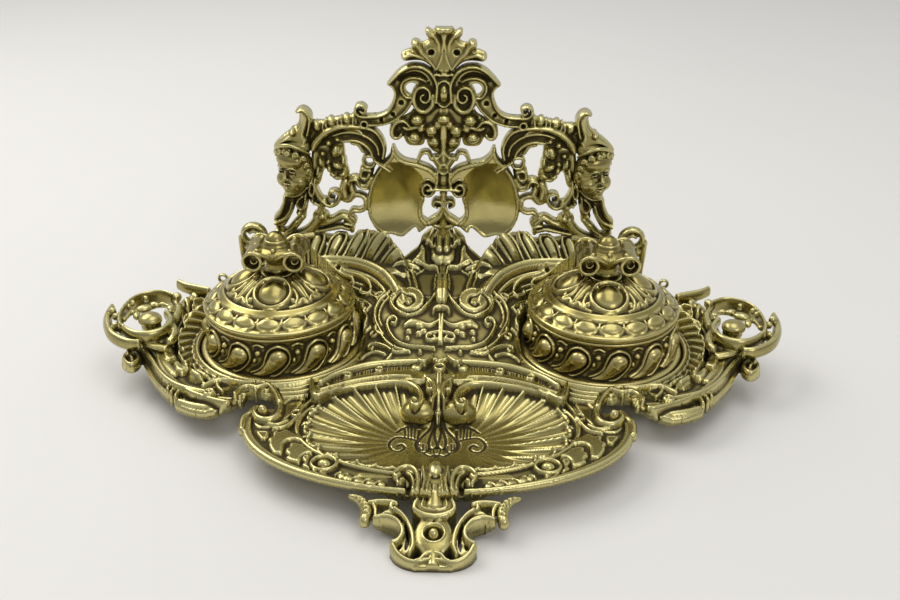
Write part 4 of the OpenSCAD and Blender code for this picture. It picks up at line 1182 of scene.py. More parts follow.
# ---------------------------------------------------------------- side wings
def wing_relief():
    """Right wing from above: seat under the pot, fluted leaf wall, border of coins, rolled rim and ledge."""
    R = Relief(29, 123, -18, 72, 0.36)
    pot = np.hypot(R.U - POT_X, R.V - POT_Y)
    turn = np.degrees(np.arctan2(R.V - POT_Y, R.U - POT_X))
    R.B = np.interp(pot, [0, 32.3, 32.8, 34.5, 36, 40.6, 41.6, 46, 49, 52], [12, 12, 14.6, 14.6, 13.4, 14.8,
        13.6, 14.2, 14.6, 12])
    R.B += 6.0 * np.clip((turn + 12) / 50, 0, 1) * np.clip((pot - 36) / 8, 0, 1)
    R.H = R.B.copy()
    seat = pot - 35.0
    side = np.maximum(np.maximum(pot - 50.4, R.V - 66), np.maximum(-(turn + 66), 0) * 0.9)
    R.S = np.where(R.U > POT_X - 4, np.minimum(seat, side), seat)
    R.H += 1.3 * bump(pot, 33.6, 0.9)
    # coins, each lapped over the next
    for outline in ([(102.7, 14.9), (102.5, 17.9), (100.4, 18.4), (97.2, 16.9), (93.9, 13.9), (95.6, 10.5),
                     (97.8, 9.1), (100.7, 10.7)],
                                 [(95.1, 8.2), (94.6, 11.4), (92.2, 12.0), (89.1, 10.7), (85.8, 7.5), (87.6,
                                     5.6), (90.0, 4.0), (93.1, 5.1)],
                                 [(108.6, 22.0), (108.1, 24.7), (105.9, 25.0), (102.5, 23.1), (100.2, 20.1),
                                  (102.2, 17.9), (104.1, 16.4), (106.7, 17.9)],
                                 [(112.6, 30.9), (112.3, 33.1), (109.7, 33.3), (106.7, 31.1), (104.7, 27.4),
                                  (106.7, 25.4), (109.3, 25.5), (111.3, 27.7)],
                                 [(112.6, 32.9), (112.0, 34.7), (109.5, 35.2), (106.6, 33.8), (105.5, 30.7),
                                  (107.3, 31.3), (110.1, 32.5)],
                                 [(113.4, 54.2), (112.5, 58.1), (109.5, 58.2), (106.4, 53.7), (105.7, 49.4),
                                  (107.3, 48.5), (110.6, 52.1)],
                                 [(111.3, 60.0), (109.9, 63.4), (107.5, 63.1), (104.8, 59.4), (104.0, 54.3),
                                  (106.0, 53.1), (108.7, 57.1)],
                                 [(108.5, 64.4), (107.4, 67.9), (105.0, 67.6), (101.5, 62.3), (102.5, 58.9),
                                  (105.1, 59.6)]):
        R.patch(outline, 2.7, edge=1.9, power=0.6)
        w, s = R.loop(outline)
        R.H[w] -= 0.8 * bump(s, 0.35, 0.45) * (R.S[w] < 0)
    # dark fluted leaf that stands round the pot, with a wavy lip
    lip = [(99.2, 58.4), (101.3, 57.2), (103.0, 55.4), (102.8, 51.7), (102.8, 49.4), (104.2, 47.3), (105.1,
        44.3), (104.0, 41.0), (103.2, 39.3), (104.6, 36.9), (104.3, 31.5), (103.6, 28.9), (102.7, 26.9),
        (101.0, 26.0), (100.6, 24.4), (101.5, 23.1), (101.4, 21.3), (99.2, 17.4), (97.3, 15.0), (95.6, 15.7),
        (94.0, 14.3), (92.6, 11.3), (88.7, 7.9), (84.5, 4.3)]
    back_edge = [(POT_X + 33.8 * math.cos(a),
                  POT_Y + 33.8 * math.sin(a)) for a in np.radians(np.linspace(-56, 40, 16))]
    w, s = R.loop(np.vstack([lip, back_edge]))
    reach = np.clip((pot[w] - 33.6) / 9, 0, 1)
    ribs = np.abs(np.sin(np.radians((turn[w] + 2.2 * (pot[w] - 33.6)) * 24)))
    leaf = np.where(reach < 0.2, 14.2, R.B[w]) + 0.4 + (1.8 + 1.4 * np.clip((turn[w] + 20) / 40, 0,
        1)) * reach**1.3 + 0.85 * ribs * ramp(reach, 0, 0.4) + 0.5 * bump(s, -0.35, 0.35)
    R.H[w] = np.where(s < 0, np.maximum(R.H[w], leaf), R.H[w] - 0.9 * bump(s, 0.5, 0.8) * (pot[w] > 35))
    # rolled rim, channel and lower ledge
    front = ramp(turn, 12, 4)
    R.H = np.maximum(R.H, (R.B + 1.8 * bump(pot, 48.4, 1.5)) * (pot > 46.8))
    R.H -= 1.6 * bump(pot, 50.0, 0.7) * front * (pot > 49)
    R.patch([(119.7, 34.1), (113.6, 29.0), (110.0, 22.7), (106.1, 16.5), (102.7, 11.7), (99.7, 0.0), (102.7,
        2.3), (108.6, 10.4), (114.1, 18.8), (116.4, 22.5), (120.8, 28.8), (123.9, 32.7)], 12.6, base=0,
        edge=0.8)
    R.stroke([(117.1, 30.9), (113.1, 28.4), (110.0, 23.9), (107.3, 18.9), (104.3, 14.6), (100.4, 9.3)], [1.2,
        2.0, 2.2, 2.2, 1.8], 1.6, base=14.6)
    R.stroke([(122.0, 23.5), (121.4, 26.4), (118.9, 26.8), (115.3, 24.3), (111.3, 19.0), (107.7, 12.9),
              (104.1, 7.6), (100.2, 3.3), (95.7, -0.1), (90.8, -2.3), (85.6, -4.1)], [0.8, 1.0, 1.1, 1.2,
                  1.2, 1.2, 1.1], 2.8, base=14.0)
    R.stroke([(123.7, 29.6), (123.6, 25.7), (122.9, 21.3), (120.7, 17.6), (118.5, 16.1), (117.2, 18.3),
              (117.4, 21.7), (118.9, 24.2), (120.3, 24.5), (120.6, 22.6), (119.6, 21.0)], [1.2, 1.3, 1.3,
                  1.2, 1.1, 1.0, 0.9, 0.8, 0.8], 4.2, base=11.6)
    R.dome(119.7, 21.4, 3.2, 3.4, 3.0, base=11.0, power=0.3)
    R.stroke([(118.3, 28.0), (114.4, 21.1), (109.8, 13.8), (104.8, 6.8), (101.1, 2.2)], [0.9, 1.2, 1.3, 1.3],
             3.2, base=9.6)
    for line in ([(100.1, 5.6), (100.5, 0.3)], [(98.1, 2.8), (98.6, -2.1)], [(95.9, 0.4), (96.4, -4.4)]):
        R.stroke(line, 0.8, 3.4, base=11.6)
    R.stroke(arc(83.5, -5.4, 1.6, 1.6, 0, 360, 24), 0.6, 2.2, raw=True, base=15.2)
    R.dome(83.5, -5.4, 1.0, 1.0, 2.4, base=15.2)
    R.stroke([(87.1, -0.0), (83.2, 4.0), (78.6, 4.7), (72.4, 3.1), (68.2, 3.2)], [0.8, 1.0, 1.0, 0.7], 2.0,
             base=14.6)
    R.stroke([(94.9, -5.6), (89.1, -8.0), (82.4, -9.2), (77.4, -8.4), (75.2, -6.4)], [1.6, 2.2, 2.4, 2.4,
        2.0], 4.6, base=9.0)
    R.stroke([(84.1, -3.9), (79.2, -4.8), (75.6, -5.3)], [0.8, 1.2, 1.2], 1.6, base=12.6)
    R.stroke([(83.0, 5.0), (81.7, 0.6), (79.6, -2.3)], 0.7, 1.6, base=14.4)
    # acanthus curl towards the ear
    R.patch([(75.6, -2.0), (74.6, 1.9), (72.1, 4.2), (68.2, 2.6), (65.6, 4.9), (61.3, 0.6), (62.7, -1.9),
             (67.0, -0.7), (70.3, -2.1), (71.8, -6.2), (74.3, -5.4)], 15.0, base=0, edge=1.0)
    R.stroke([(74.1, -6.2), (73.2, -1.9), (70.7, 0.4), (67.0, -0.3), (63.8, 1.7)], [0.6, 1.1, 1.2, 0.9], 2.2,
             base=14.6)
    R.stroke([(67.2, -2.3), (68.2, 1.6), (67.1, 3.3), (63.2, 1.7), (59.8, -3.2), (57.3, -9.5)], [0.6, 0.8,
        0.9, 1.1, 1.2], 2.6, base=14.0)
    return R


def raised(points, z):
    """Plan points at one height, or at heights running evenly through a list."""
    p = np.asarray(points, float)
    return np.column_stack([p, np.interp(np.linspace(0, 1, len(p)), np.linspace(0, 1, len(np.atleast_1d(z))),
                                         np.atleast_1d(z))])


def build_handle():
    """Right handle: a flat-sided ring of two nested bands round a big pearl on a leafy sprig."""
    inner = [(127.0, 34.0), (123.1, 29.7), (119.1, 27.0), (115.0, 26.3), (111.0, 28.0), (108.3, 31.5),
             (107.8, 37.0), (109.5, 41.8), (111.8, 44.9)]
    outer = [(135.3, 51.0), (135.1, 44.5), (133.1, 36.8), (129.6, 30.1), (125.2, 25.9), (120.6, 23.5),
             (116.7, 23.4)]
    top = [(126.1, 31.7), (127.8, 35.8), (128.9, 41.4), (128.7, 47.9), (127.4, 53.3), (124.7, 57.1), (120.5,
        59.5), (116.0, 59.6), (112.0, 57.3), (109.3, 54.4)]
    parts = [tube(raised(inner, 21.2), [1.1, 1.5, 1.6, 1.5, 1.1], [2.6, 2.8, 2.8, 2.4]),
             tube(raised(outer, [20.4, 19.6, 19.4]), [1.2, 1.8, 1.8, 1.6, 1.3], [2.6, 2.9, 2.8, 2.4]),
             tube(raised(top, [21.4, 21.6, 21.8]), [1.1, 1.0, 0.95, 0.95, 1.0], [3.3, 3.4, 3.4, 3.0]),
             tube(raised([(125.8, 33.4), (128.3, 34.0), (129.8, 33.9)], 21.0), 1.3, 2.2)]
    x, y = 109.8, 56.3
    parts.append(ball((x, y, 23.4), (1.9, 1.9, 2.0)))
    x, y = 115.5, 36.2
    parts.append(ball((x, y, 23.6), (4.7, 4.4, 2.9)))
    parts.append(ball((x - 0.2, y - 0.2, 21.0), (3.9, 3.6, 3.2)))
    for spot, size, angle in (([(121.6, 48.3)], (3.3, 2.2, 1.8), 25), ([(118.2, 52.0)], (2.3, 1.5, 1.4),
        -10), ([(114.8, 52.5)], (1.7, 1.1, 1.2), -5),
                              ([(111.1, 49.7)], (1.5, 1.9, 1.2), 0), ([(122.9, 42.5)], (1.4, 2.6, 1.6), 10)):
        parts.append(ball((spot[0][0], spot[0][1], 21.8), size, rotation("Z", -angle)))
    for line in ([(122.7, 41.5), (125.6, 46.4), (126.6, 43.6), (127.1, 39.3)], [(120.8, 47.2), (118.5, 51.3),
        (114.8, 52.5), (110.7, 50.0), (110.5, 46.4)]):
        parts.append(tube(raised(line, 21.4), [0.9, 0.8, 0.8], [1.2, 1.1]))
    for spot, size in (([(130.5, 39.9)], 1.3), ([(133.0, 44.2)], 1.5), ([(127.7, 48.5)], 1.2), ([(126.9,
        51.4)], 1.3), ([(122.7, 55.7)], 1.2)):
        parts.append(ball((spot[0][0], spot[0][1], 22.6), (size, size, size * 1.3)))
    x, y = 118.3, 26.8
    parts.append(ball((x, y, 18.4), (1.5, 1.5, 1.2)))
    parts.append(tube(raised([(115.8, 27.4), (110.8, 25.6), (106.6, 24.4)], [18.0, 17.0]), [2.0, 2.4, 2.0],
                      [1.6, 1.5]))
    parts.append(tube(raised([(108.6, 39.1), (105.7, 33.7), (105.0, 28.3), (105.9, 25.7)], [20.5, 19.0]),
                      [1.4, 1.8, 1.6], [2.2, 1.8]))
    parts.append(tube(raised([(111.7, 56.7), (108.0, 50.1), (107.6, 42.9), (108.2, 40.1)], [21.0, 20.0]),
                      [1.4, 1.6, 1.5], [2.2, 2.0]))
    parts.append(tube(raised([(112.3, 68.5), (108.7, 65.9), (103.5, 64.0), (97.7, 62.2)], [23.2, 22.4]),
                      [1.3, 1.4, 1.4], [2.6, 2.8]))
    parts.append(tube([(97.0, 62.5, 20.5), (93, 66, 20.8), (86, 70, 21.5), (80, 72, 22)], [1.6, 1.6, 1.4],
                      [2.6, 2.6]))
    # the small roll at the end of the back rim
    parts.append(tube([(93.2 + 1.7 * math.cos(a), 69.2, 26.0 + 1.7 * math.sin(a)) for a in np.linspace(0,
        6.3, 20)], 0.6, 1.0, up=(0, 1, 0), raw=True))
    parts.append(tube([(93.2, 69.2, 23.8), (91.5, 69.0, 21.5)], 1.0))
    return fused(parts, voxel=0.34, rounds=2)


def build_curl():
    """Upright scroll on the back corner of the right hollow, with the wall that joins it to the tray."""
    t = np.linspace(0, 1, 26)
    a = np.radians(180 - 500 * t)
    r = 5.0 - 3.4 * t
    roll = np.stack([76.2 + r * np.cos(a), np.full(26, 57.0), 51.6 + r * np.sin(a)], -1)
    parts = [tube(roll, [1.15, 1.2, 1.0, 0.8], [2.3, 2.2, 1.8, 1.8], up=(0, 1, 0), raw=True),
             tube([(79.6, 60.0, 22), (80.0, 58.5, 34), (80.6, 57.2, 44), (81.0, 57.0, 51.0)], [1.5, 1.4,
                 1.2], [2.6, 2.4, 2.3], up=(0, 1, 0)),
             ball((78.2, 56.2, 46.6), (1.7, 1.5, 2.2)),
             tube([(72.5, 58.5, 46.8), (66, 64, 45.8), (60, 69, 45.6), (54, 72, 45.4)], [1.6, 1.8, 1.8],
                  [1.8, 1.8], up=(0, 0, 1)),
             tube([(74, 58, 39), (66, 66, 36), (58, 71.5, 35)], [1.6, 1.7], [7.0, 7.0]),
             tube([(77, 60, 26), (69, 69, 25), (60, 73, 27)], [1.5, 1.6], [7.0, 7.0])]
    return fused(parts, voxel=0.36, rounds=2)


def build_scroll():
    """Smooth rounded undersides of the two scrolls on the dish's centre line, and the stem between them."""
    parts = [tube([(0, 8, 17.0), (0, 3, 16.4), (0, -3, 15.8), (0, -8, 13.6), (0, -11.5, 9.8)], [1.0, 1.7,
        1.8, 1.2, 0.5]),
             ball((0, -1.5, 13.2), (4.4, 6.5, 2.6))]
    for m in (-1, 1):
        parts.append(ball((m * 6.9, -7.5, 10.3), (7.1, 5.3, 4.9)))
    return fused(parts, voxel=0.32, rounds=2)


R = dish_relief()
mesh_piece("tray_front_casting", *R.solid(R.B - 3.0 + (11.0 - R.B + 3.0) * ramp(-R.S, 7, 1), plan), "stand",
           CAST, "tray_brass", ["base_tray"], low=R.low)
R = foot_relief()
mesh_piece("tray_foot_casting", *R.solid(np.maximum(R.B - 0.8 - 3.8 * ramp(np.abs(R.U), 21, 15), 0.0), plan),
           "stand", CAST, "tray_brass", low=R.low)
R = bank_relief()
mesh_piece("tray_back_casting", *R.solid(R.B - 2.8, plan), "stand", CAST, "tray_brass", low=R.low)
R = wing_relief()
under = np.where(np.hypot(R.U - POT_X, R.V - POT_Y) < 35, 9.0, np.minimum(R.B - 3.4, 11.0))
under += (11.6 - under) * ramp(np.hypot(R.U - 118.8, R.V - 20.5), 9, 7)
for side, flip in (("left", True), ("right", False)):
    mesh_piece(f"tray_{side}_casting", *R.solid(under, plan, mirror=flip), "stand", CAST, "tray_brass",
               low=R.low)
mesh_piece("dish_scroll_casting", *build_scroll(), "stand", CAST, "tray_brass")
for name, shape in (("handle", build_handle()), ("curl", build_curl())):
    for side, flip in (("left", True), ("right", False)):
        verts, faces = moved(shape, mirror=flip)
        mesh_piece(f"{side}_{name}_casting", verts, faces, "stand", CAST, "tray_brass")


# ---------------------------------------------------------------- gallery
def upright(u, v, h):
    return u, GALLERY_Y - h, v


def gallery_relief():
    """The openwork gallery seen from the front: u across, v up, height toward the front."""
    R = Relief(-70, 70, 40.5, CREST_Z, 0.3)
    R.twin = True
    R.B[:] = 0.6
    R.depth = 1.3
    R.H = R.B.copy()
    # crest leaf
    R.patch([(-0.8, 132.3), (2.1, 132.3), (3.6, 130.9), (4.5, 130.0), (6.9, 130.8), (7.0, 128.8), (6.0,
        126.7), (8.5, 125.5), (10.9, 126.6), (12.7, 125.3), (12.4, 123.1), (13.7, 122.8), (16.2, 121.6),
        (16.5, 119.8), (15.0, 118.4), (10.7, 118.7), (7.1, 117.9), (3.1, 114.4), (1.0, 113.1), (-0.8,
            113.1)], 1.6, edge=1.4)
    R.dome(1.0, 130.5, 2.4, 2.2, 3.4, power=0.45)
    R.stroke([(6.2, 130.2), (4.8, 128.8), (3.3, 127.6), (2.1, 124.9), (1.8, 121.2)], [0.9, 1.3, 1.2, 0.8],
             [2.6, 3.2, 2.6, 1.6])
    R.stroke([(10.9, 124.9), (9.4, 123.7), (8.2, 121.6), (5.8, 119.1), (3.4, 115.7)], [1.7, 1.6, 1.2, 0.9],
             [3.4, 3.0, 2.6, 1.8])
    R.dome(10.9, 125.1, 1.8, 1.8, 3.6)
    R.stroke([(15.1, 120.1), (12.5, 121.0), (10.1, 120.4), (7.0, 119.1), (4.6, 116.9)], [1.2, 1.0, 0.9, 0.7],
             [3.2, 2.6, 2.2, 1.6])
    R.dome(15.1, 120.1, 1.4, 1.5, 3.8)
    R.dome(4.9, 122.1, 1.7, 2.6, 2.4, angle=-20)
    R.pit(4.9, 122.0, 1.3, 3.0)
    R.stroke([(0.3, 128.5), (-0.2, 124.8), (-0.7, 121.2)], [1.2, 0.9, 0.5], [3.2, 2.6, 1.8])
    R.stroke([(0.7, 121.5), (1.5, 118.7), (3.1, 115.0)], [0.5, 0.7, 0.5], 2.2)
    # heavy top scroll with its inner volute
    R.patch([(2.2, 111.3), (3.1, 113.2), (5.9, 115.6), (8.9, 116.8), (12.9, 116.9), (16.3, 115.5), (19.2,
        112.7), (21.9, 109.3), (19.9, 108.2), (18.9, 105.8), (19.7, 102.3), (21.7, 98.8), (25.2, 96.7),
        (29.9, 96.3), (32.8, 96.6), (34.3, 98.3), (35.5, 98.3), (34.7, 95.0), (31.3, 92.9), (30.1, 92.8),
        (25.0, 93.0), (20.6, 94.4), (17.4, 96.7), (14.2, 99.7), (12.6, 102.8), (12.0, 99.9), (8.6, 98.0),
        (5.4, 99.2), (2.3, 101.1)], 1.0, edge=0.6)
    R.hole(12.5, 107.6, 2.5, 2.5, 0)
    R.stroke([(3.0, 102.4), (2.6, 108.1), (3.3, 111.3), (5.4, 114.4), (8.6, 116.3), (12.6, 116.5), (16.0,
        115.0), (18.9, 112.4), (21.5, 109.5)], [0.7, 0.9, 1.0, 1.0, 0.9, 0.7], 3.4)
    R.stroke([(21.5, 109.4), (19.9, 108.3), (18.9, 105.8), (19.7, 102.1), (21.8, 98.5), (25.4, 96.6), (30.0,
        96.2), (33.1, 96.4), (34.8, 98.1), (34.2, 100.2), (32.3, 100.8), (30.8, 99.4), (31.8, 97.7), (33.0,
            98.6)], [0.6, 0.7, 0.7, 0.7, 0.8, 0.8, 0.8, 0.7, 0.6], 2.8)
    R.stroke([(6.5, 110.6), (9.6, 111.9), (13.3, 111.9), (16.1, 110.2), (16.5, 107.0), (14.7, 104.3), (12.5,
        104.0), (14.2, 100.0), (17.4, 96.7), (20.6, 94.5), (25.0, 93.1), (30.1, 92.9)], [0.7, 0.8, 0.7, 0.7,
            0.7, 0.7], 2.6)
    R.sink([(5.3, 110.1), (7.7, 113.2), (11.4, 114.5), (15.7, 113.3), (18.3, 110.8), (17.0, 110.5), (15.2,
        111.9), (12.1, 112.5), (8.4, 111.7), (6.2, 109.4)], 1.2)
    R.stroke([(4.4, 105.0), (4.6, 101.2), (7.3, 98.6), (10.4, 99.9), (11.7, 103.8), (10.6, 107.6), (7.8,
        108.5), (5.6, 106.9), (5.7, 103.7), (7.3, 102.5), (8.8, 103.4), (9.0, 105.0), (7.8, 105.7)], [1.3,
            1.4, 1.4, 1.2, 1.0, 0.9, 0.8, 0.8, 0.7, 0.6], [2.6, 3.2, 3.4, 3.4, 3.4])
    for place, size in (([(16.8, 101.9)], 1.1), ([(20.1, 97.1)], 0.85), ([(24.8, 94.9)], 0.75)):
        R.pit(*place[0], size, 1.8)
    R.stroke(arc(31.5, 93.2, 1.35, 1.4, 0, 360, 24), 0.6, 3.0, raw=True)
    # oval cartouche and the fruit and leaves under it
    R.patch([(-0.7, 113.1), (2.8, 112.5), (3.1, 108.8), (2.9, 102.4), (2.3, 99.8), (2.3, 94.7), (-0.6,
        94.6)], 1.4)
    R.dome(0, 105.9, 2.1, 3.9, 3.6)
    R.stroke(arc(0, 105.9, 3.1, 5.2, 0, 360, 40), 0.6, 3.0, raw=True)
    R.stroke([(-0.7, 113.4), (1.3, 113.1), (3.1, 113.5)], 0.7, 2.6)
    R.patch([(-0.6, 99.8), (5.4, 99.2), (11.0, 99.9), (13.6, 97.4), (19.3, 94.2), (20.8, 91.6), (20.4, 87.7),
             (18.2, 87.2), (16.6, 88.6), (14.5, 84.9), (11.3, 84.2), (8.1, 84.9), (7.1, 88.2), (6.5, 84.8),
             (4.3, 82.1), (2.4, 80.8), (1.2, 75.4), (-0.5, 74.6)], 0.8, edge=1.2)
    R.dome(0, 95.6, 3.2, 2.4, 4.2, power=0.45)
    R.dome(10.5, 95.3, 2.9, 2.6, 4.6, power=0.5)
    R.dome(4.9, 90.8, 2.7, 2.7, 4.0, power=0.5)
    R.dome(2.3, 93.4, 2.0, 2.4, 3.6, power=0.5)
    R.dome(11.6, 88.1, 2.8, 2.6, 4.6, power=0.5)
    R.dome(9.0, 91.5, 1.8, 1.6, 3.4, power=0.5)
    R.dome(3.6, 86.1, 2.0, 2.6, 3.2, angle=-20)
    R.stroke([(13.4, 92.7), (15.8, 94.8), (19.0, 93.9), (20.5, 90.9), (20.0, 88.2), (17.9, 88.0), (16.9,
        89.5)], [0.8, 1.1, 1.2, 1.1, 0.9], 3.2)
    R.stroke([(8.0, 93.1), (11.2, 92.2), (14.3, 91.5), (15.9, 92.2)], [0.6, 1.2, 0.9], 2.6)
    R.stroke([(0, 93.0), (0, 88), (0, 83), (0, 78)], [2.2, 1.8, 1.3, 1.0], [3.0, 3.0, 2.6, 2.4])
    R.stroke([(-0.5, 84.1), (1.1, 80.8), (2.4, 79.4)], 0.8, 2.4)
    # egg strip, C arch and its fruit
    R.patch([(34.9, 97.6), (37.5, 96.2), (42.5, 95.6), (47.0, 94.2), (52.1, 93.9), (53.5, 91.3), (53.7,
        86.1), (52.8, 82.4), (50.7, 84.7), (47.4, 88.3), (42.8, 91.2), (36.4, 91.8), (33.9, 91.8)], 1.0,
        edge=0.6)
    for place in ([(38.3, 94.9)], [(44.5, 93.8)], [(50.4, 92.0)]):
        R.dome(*place[0], 1.6, 2.3, 3.2, angle=-20, power=0.45)
        R.stroke([(place[0][0] - 2.4, place[0][1] + 1.4), (place[0][0] - 2.2, place[0][1] - 1.6)], 0.35, 2.2)
        R.stroke([(place[0][0] + 2.4, place[0][1] + 1.0), (place[0][0] + 2.2, place[0][1] - 2.0)], 0.35, 2.2)
    R.patch([(23.7, 79.0), (23.3, 83.0), (24.6, 87.4), (27.0, 90.7), (30.7, 92.1), (37.0, 92.6), (42.7,
        91.9), (47.6, 89.4), (51.3, 85.7), (52.8, 82.4), (51.6, 81.4), (48.9, 84.0), (44.3, 85.3), (39.3,
            84.9), (35.5, 84.8), (32.4, 82.1), (30.6, 79.8), (26.8, 77.7)], 0.8, edge=0.6)
    R.stroke([(24.5, 79.0), (23.8, 83.0), (24.9, 87.0), (27.3, 90.2), (31.1, 91.7), (37.0, 92.2), (42.7,
        91.6), (47.6, 89.2), (51.0, 85.7), (52.3, 82.7)], [0.8, 0.9, 0.9, 0.9, 1.0, 1.2, 1.7, 1.9, 1.2],
        [2.8, 2.8, 2.8, 3.0, 3.4, 3.6])
    R.stroke([(26.0, 80.4), (26.9, 84.4), (30.3, 87.8), (34.6, 89.5), (39.7, 89.7), (44.2, 88.3)], [0.6, 0.8,
        0.8, 0.6], 2.4)
    R.stroke([(31.8, 88.1), (32.7, 89.8), (34.6, 90.8), (39.0, 91.2)], 0.6, 2.4)
    R.stroke([(28.6, 80.1), (29.8, 82.8), (32.9, 85.5), (36.7, 86.4), (40.5, 86.0)], [0.7, 0.9, 0.9, 0.7],
             2.4)
    for place, ru, rv, rise, lean in (([(43.1, 82.1)], 2.3, 3.1, 4.6, 12), ([(45.9, 85.6)], 1.5, 1.5, 4.2,
        0), ([(42.4, 86.9)], 1.5, 1.1, 3.4, 10),
                                      ([(48.4, 81.2)], 1.5, 1.4, 4.0, 0), ([(49.2, 77.0)], 1.6, 2.9, 3.6,
                                          -16), ([(42.9, 75.9)], 2.7, 1.7, 3.6, 30),
                                      ([(40.9, 72.1)], 1.9, 1.3, 3.0, -20), ([(51.0, 72.6)], 1.1, 3.0, 3.0,
                                          8), ([(46.1, 74.5)], 1.3, 2.0, 3.6, -10),
                                      ([(40.3, 77.5)], 1.2, 2.4, 2.8, -8), ([(46.4, 77.6)], 1.2, 1.7, 3.8,
                                          20), ([(44.7, 71.8)], 1.6, 1.1, 3.0, 0)):
        R.dome(*place[0], ru, rv, rise, angle=lean, power=0.5)
    R.groove([(42.4, 86.3), (42.3, 82.3), (43.4, 78.2)], 0.3, 0.6)
    R.groove([(49.1, 80.0), (48.7, 76.6), (50.1, 73.6)], 0.3, 0.6)
    R.patch([(40.5, 86.6), (44.2, 87.3), (48.2, 84.7), (52.8, 82.7), (53.7, 67.1), (50.5, 67.7), (48.2,
        73.9), (45.1, 71.1), (43.9, 69.4), (40.0, 70.4), (38.3, 72.1), (39.6, 77.9)], 1.2, edge=1.0)
    R.stroke([(39.9, 71.1), (42.6, 70.4), (44.6, 71.1), (46.2, 74.5)], [0.8, 1.0, 0.8], 2.4)
    # ring strap and the small volutes below it
    R.stroke([(28.7, 79.6), (31.2, 79.8), (32.4, 77.8), (31.1, 75.4), (28.5, 75.7), (27.6, 77.7)], 0.8, 2.4)
    R.stroke([(32.4, 81.8), (34.2, 84.5), (36.7, 85.2)], 0.9, 2.0)
    R.stroke([(29.5, 73.7), (32.7, 74.0), (33.5, 71.0), (31.3, 70.3), (30.2, 72.0)], 0.9, 2.6)
    R.patch([(28.2, 75.0), (33.3, 75.7), (33.8, 71.0), (31.6, 68.9), (29.7, 69.5)], 1.2)
    R.stroke([(29.6, 70.2), (31.4, 66.8), (34.3, 67.5), (35.5, 70.0), (38.1, 69.0), (37.6, 65.8), (37.1,
        63.4), (39.1, 60.6), (41.7, 61.7), (41.2, 64.9)], [1.3, 1.5, 1.5, 1.5, 1.5, 1.4, 1.2, 0.9], 2.0)
    R.stroke([(31.1, 65.8), (34.0, 66.5), (35.2, 69.6), (38.2, 69.5), (38.5, 67.6)], 0.45, 3.2, cut=False)
    R.stroke([(31.6, 61.2), (33.8, 62.7), (36.4, 62.8), (38.5, 61.0), (40.4, 60.7)], [1.2, 1.2, 1.3, 1.0],
             1.8)
    R.stroke([(32.1, 61.2), (31.9, 57.7), (34.4, 56.0), (37.4, 56.0), (38.5, 53.9), (36.6, 51.7), (37.7,
        49.2), (37.9, 46.7)], [1.2, 1.1, 1.1, 1.0, 0.8, 0.8], 2.4)
    R.stroke([(40.1, 68.3), (40.9, 65.5), (40.4, 62.1)], [1.8, 1.9, 1.6], 2.2)
    # scroll, heart and long leaves below the head
    R.stroke([(52.6, 69.2), (52.3, 65.0), (50.2, 60.8), (47.1, 58.3), (44.1, 59.3), (42.6, 62.4), (44.2,
        64.5), (46.5, 63.9), (46.6, 61.8), (45.1, 61.4)], [0.9, 1.1, 1.2, 1.1, 1.0, 0.9, 0.8, 0.7, 0.6],
        [2.4, 2.8, 3.0, 3.0])
    R.stroke([(49.0, 60.1), (50.4, 57.3), (50.9, 55.1)], [1.6, 1.4, 1.8], 2.2)
    R.stroke([(51.0, 58.0), (52.9, 59.4)], 0.9, 2.2)
    R.patch([(47.6, 54.4), (50.5, 55.7), (53.9, 54.5), (53.8, 50.9), (50.9, 49.4), (47.5, 50.8)], 2.6,
            edge=1.5)
    R.dome(49.9, 53.7, 2.0, 2.0, 4.0)
    R.stroke([(51.4, 52.3), (54.2, 48.8), (57.7, 46.6), (62.4, 45.1)], [2.4, 2.0, 1.3, 0.7], [3.2, 2.8, 2.0])
    R.stroke([(37.8, 47.8), (38.3, 51.4), (41.4, 53.6), (44.8, 51.9), (48.9, 50.5), (51.5, 50.2)], [1.0, 1.6,
        1.9, 1.6, 1.6], 2.6)
    R.stroke([(38.1, 47.5), (42.3, 48.6), (46.4, 47.9), (51.0, 46.9), (57.1, 45.8)], [1.2, 1.2, 1.0, 0.9],
             2.0)
    R.groove([(39.0, 49.3), (42.2, 51.8), (46.2, 50.1), (50.3, 48.7)], 0.5, 1.0)
    R.stroke([(37.7, 50.0), (40.9, 50.7)], 0.7, 3.4)
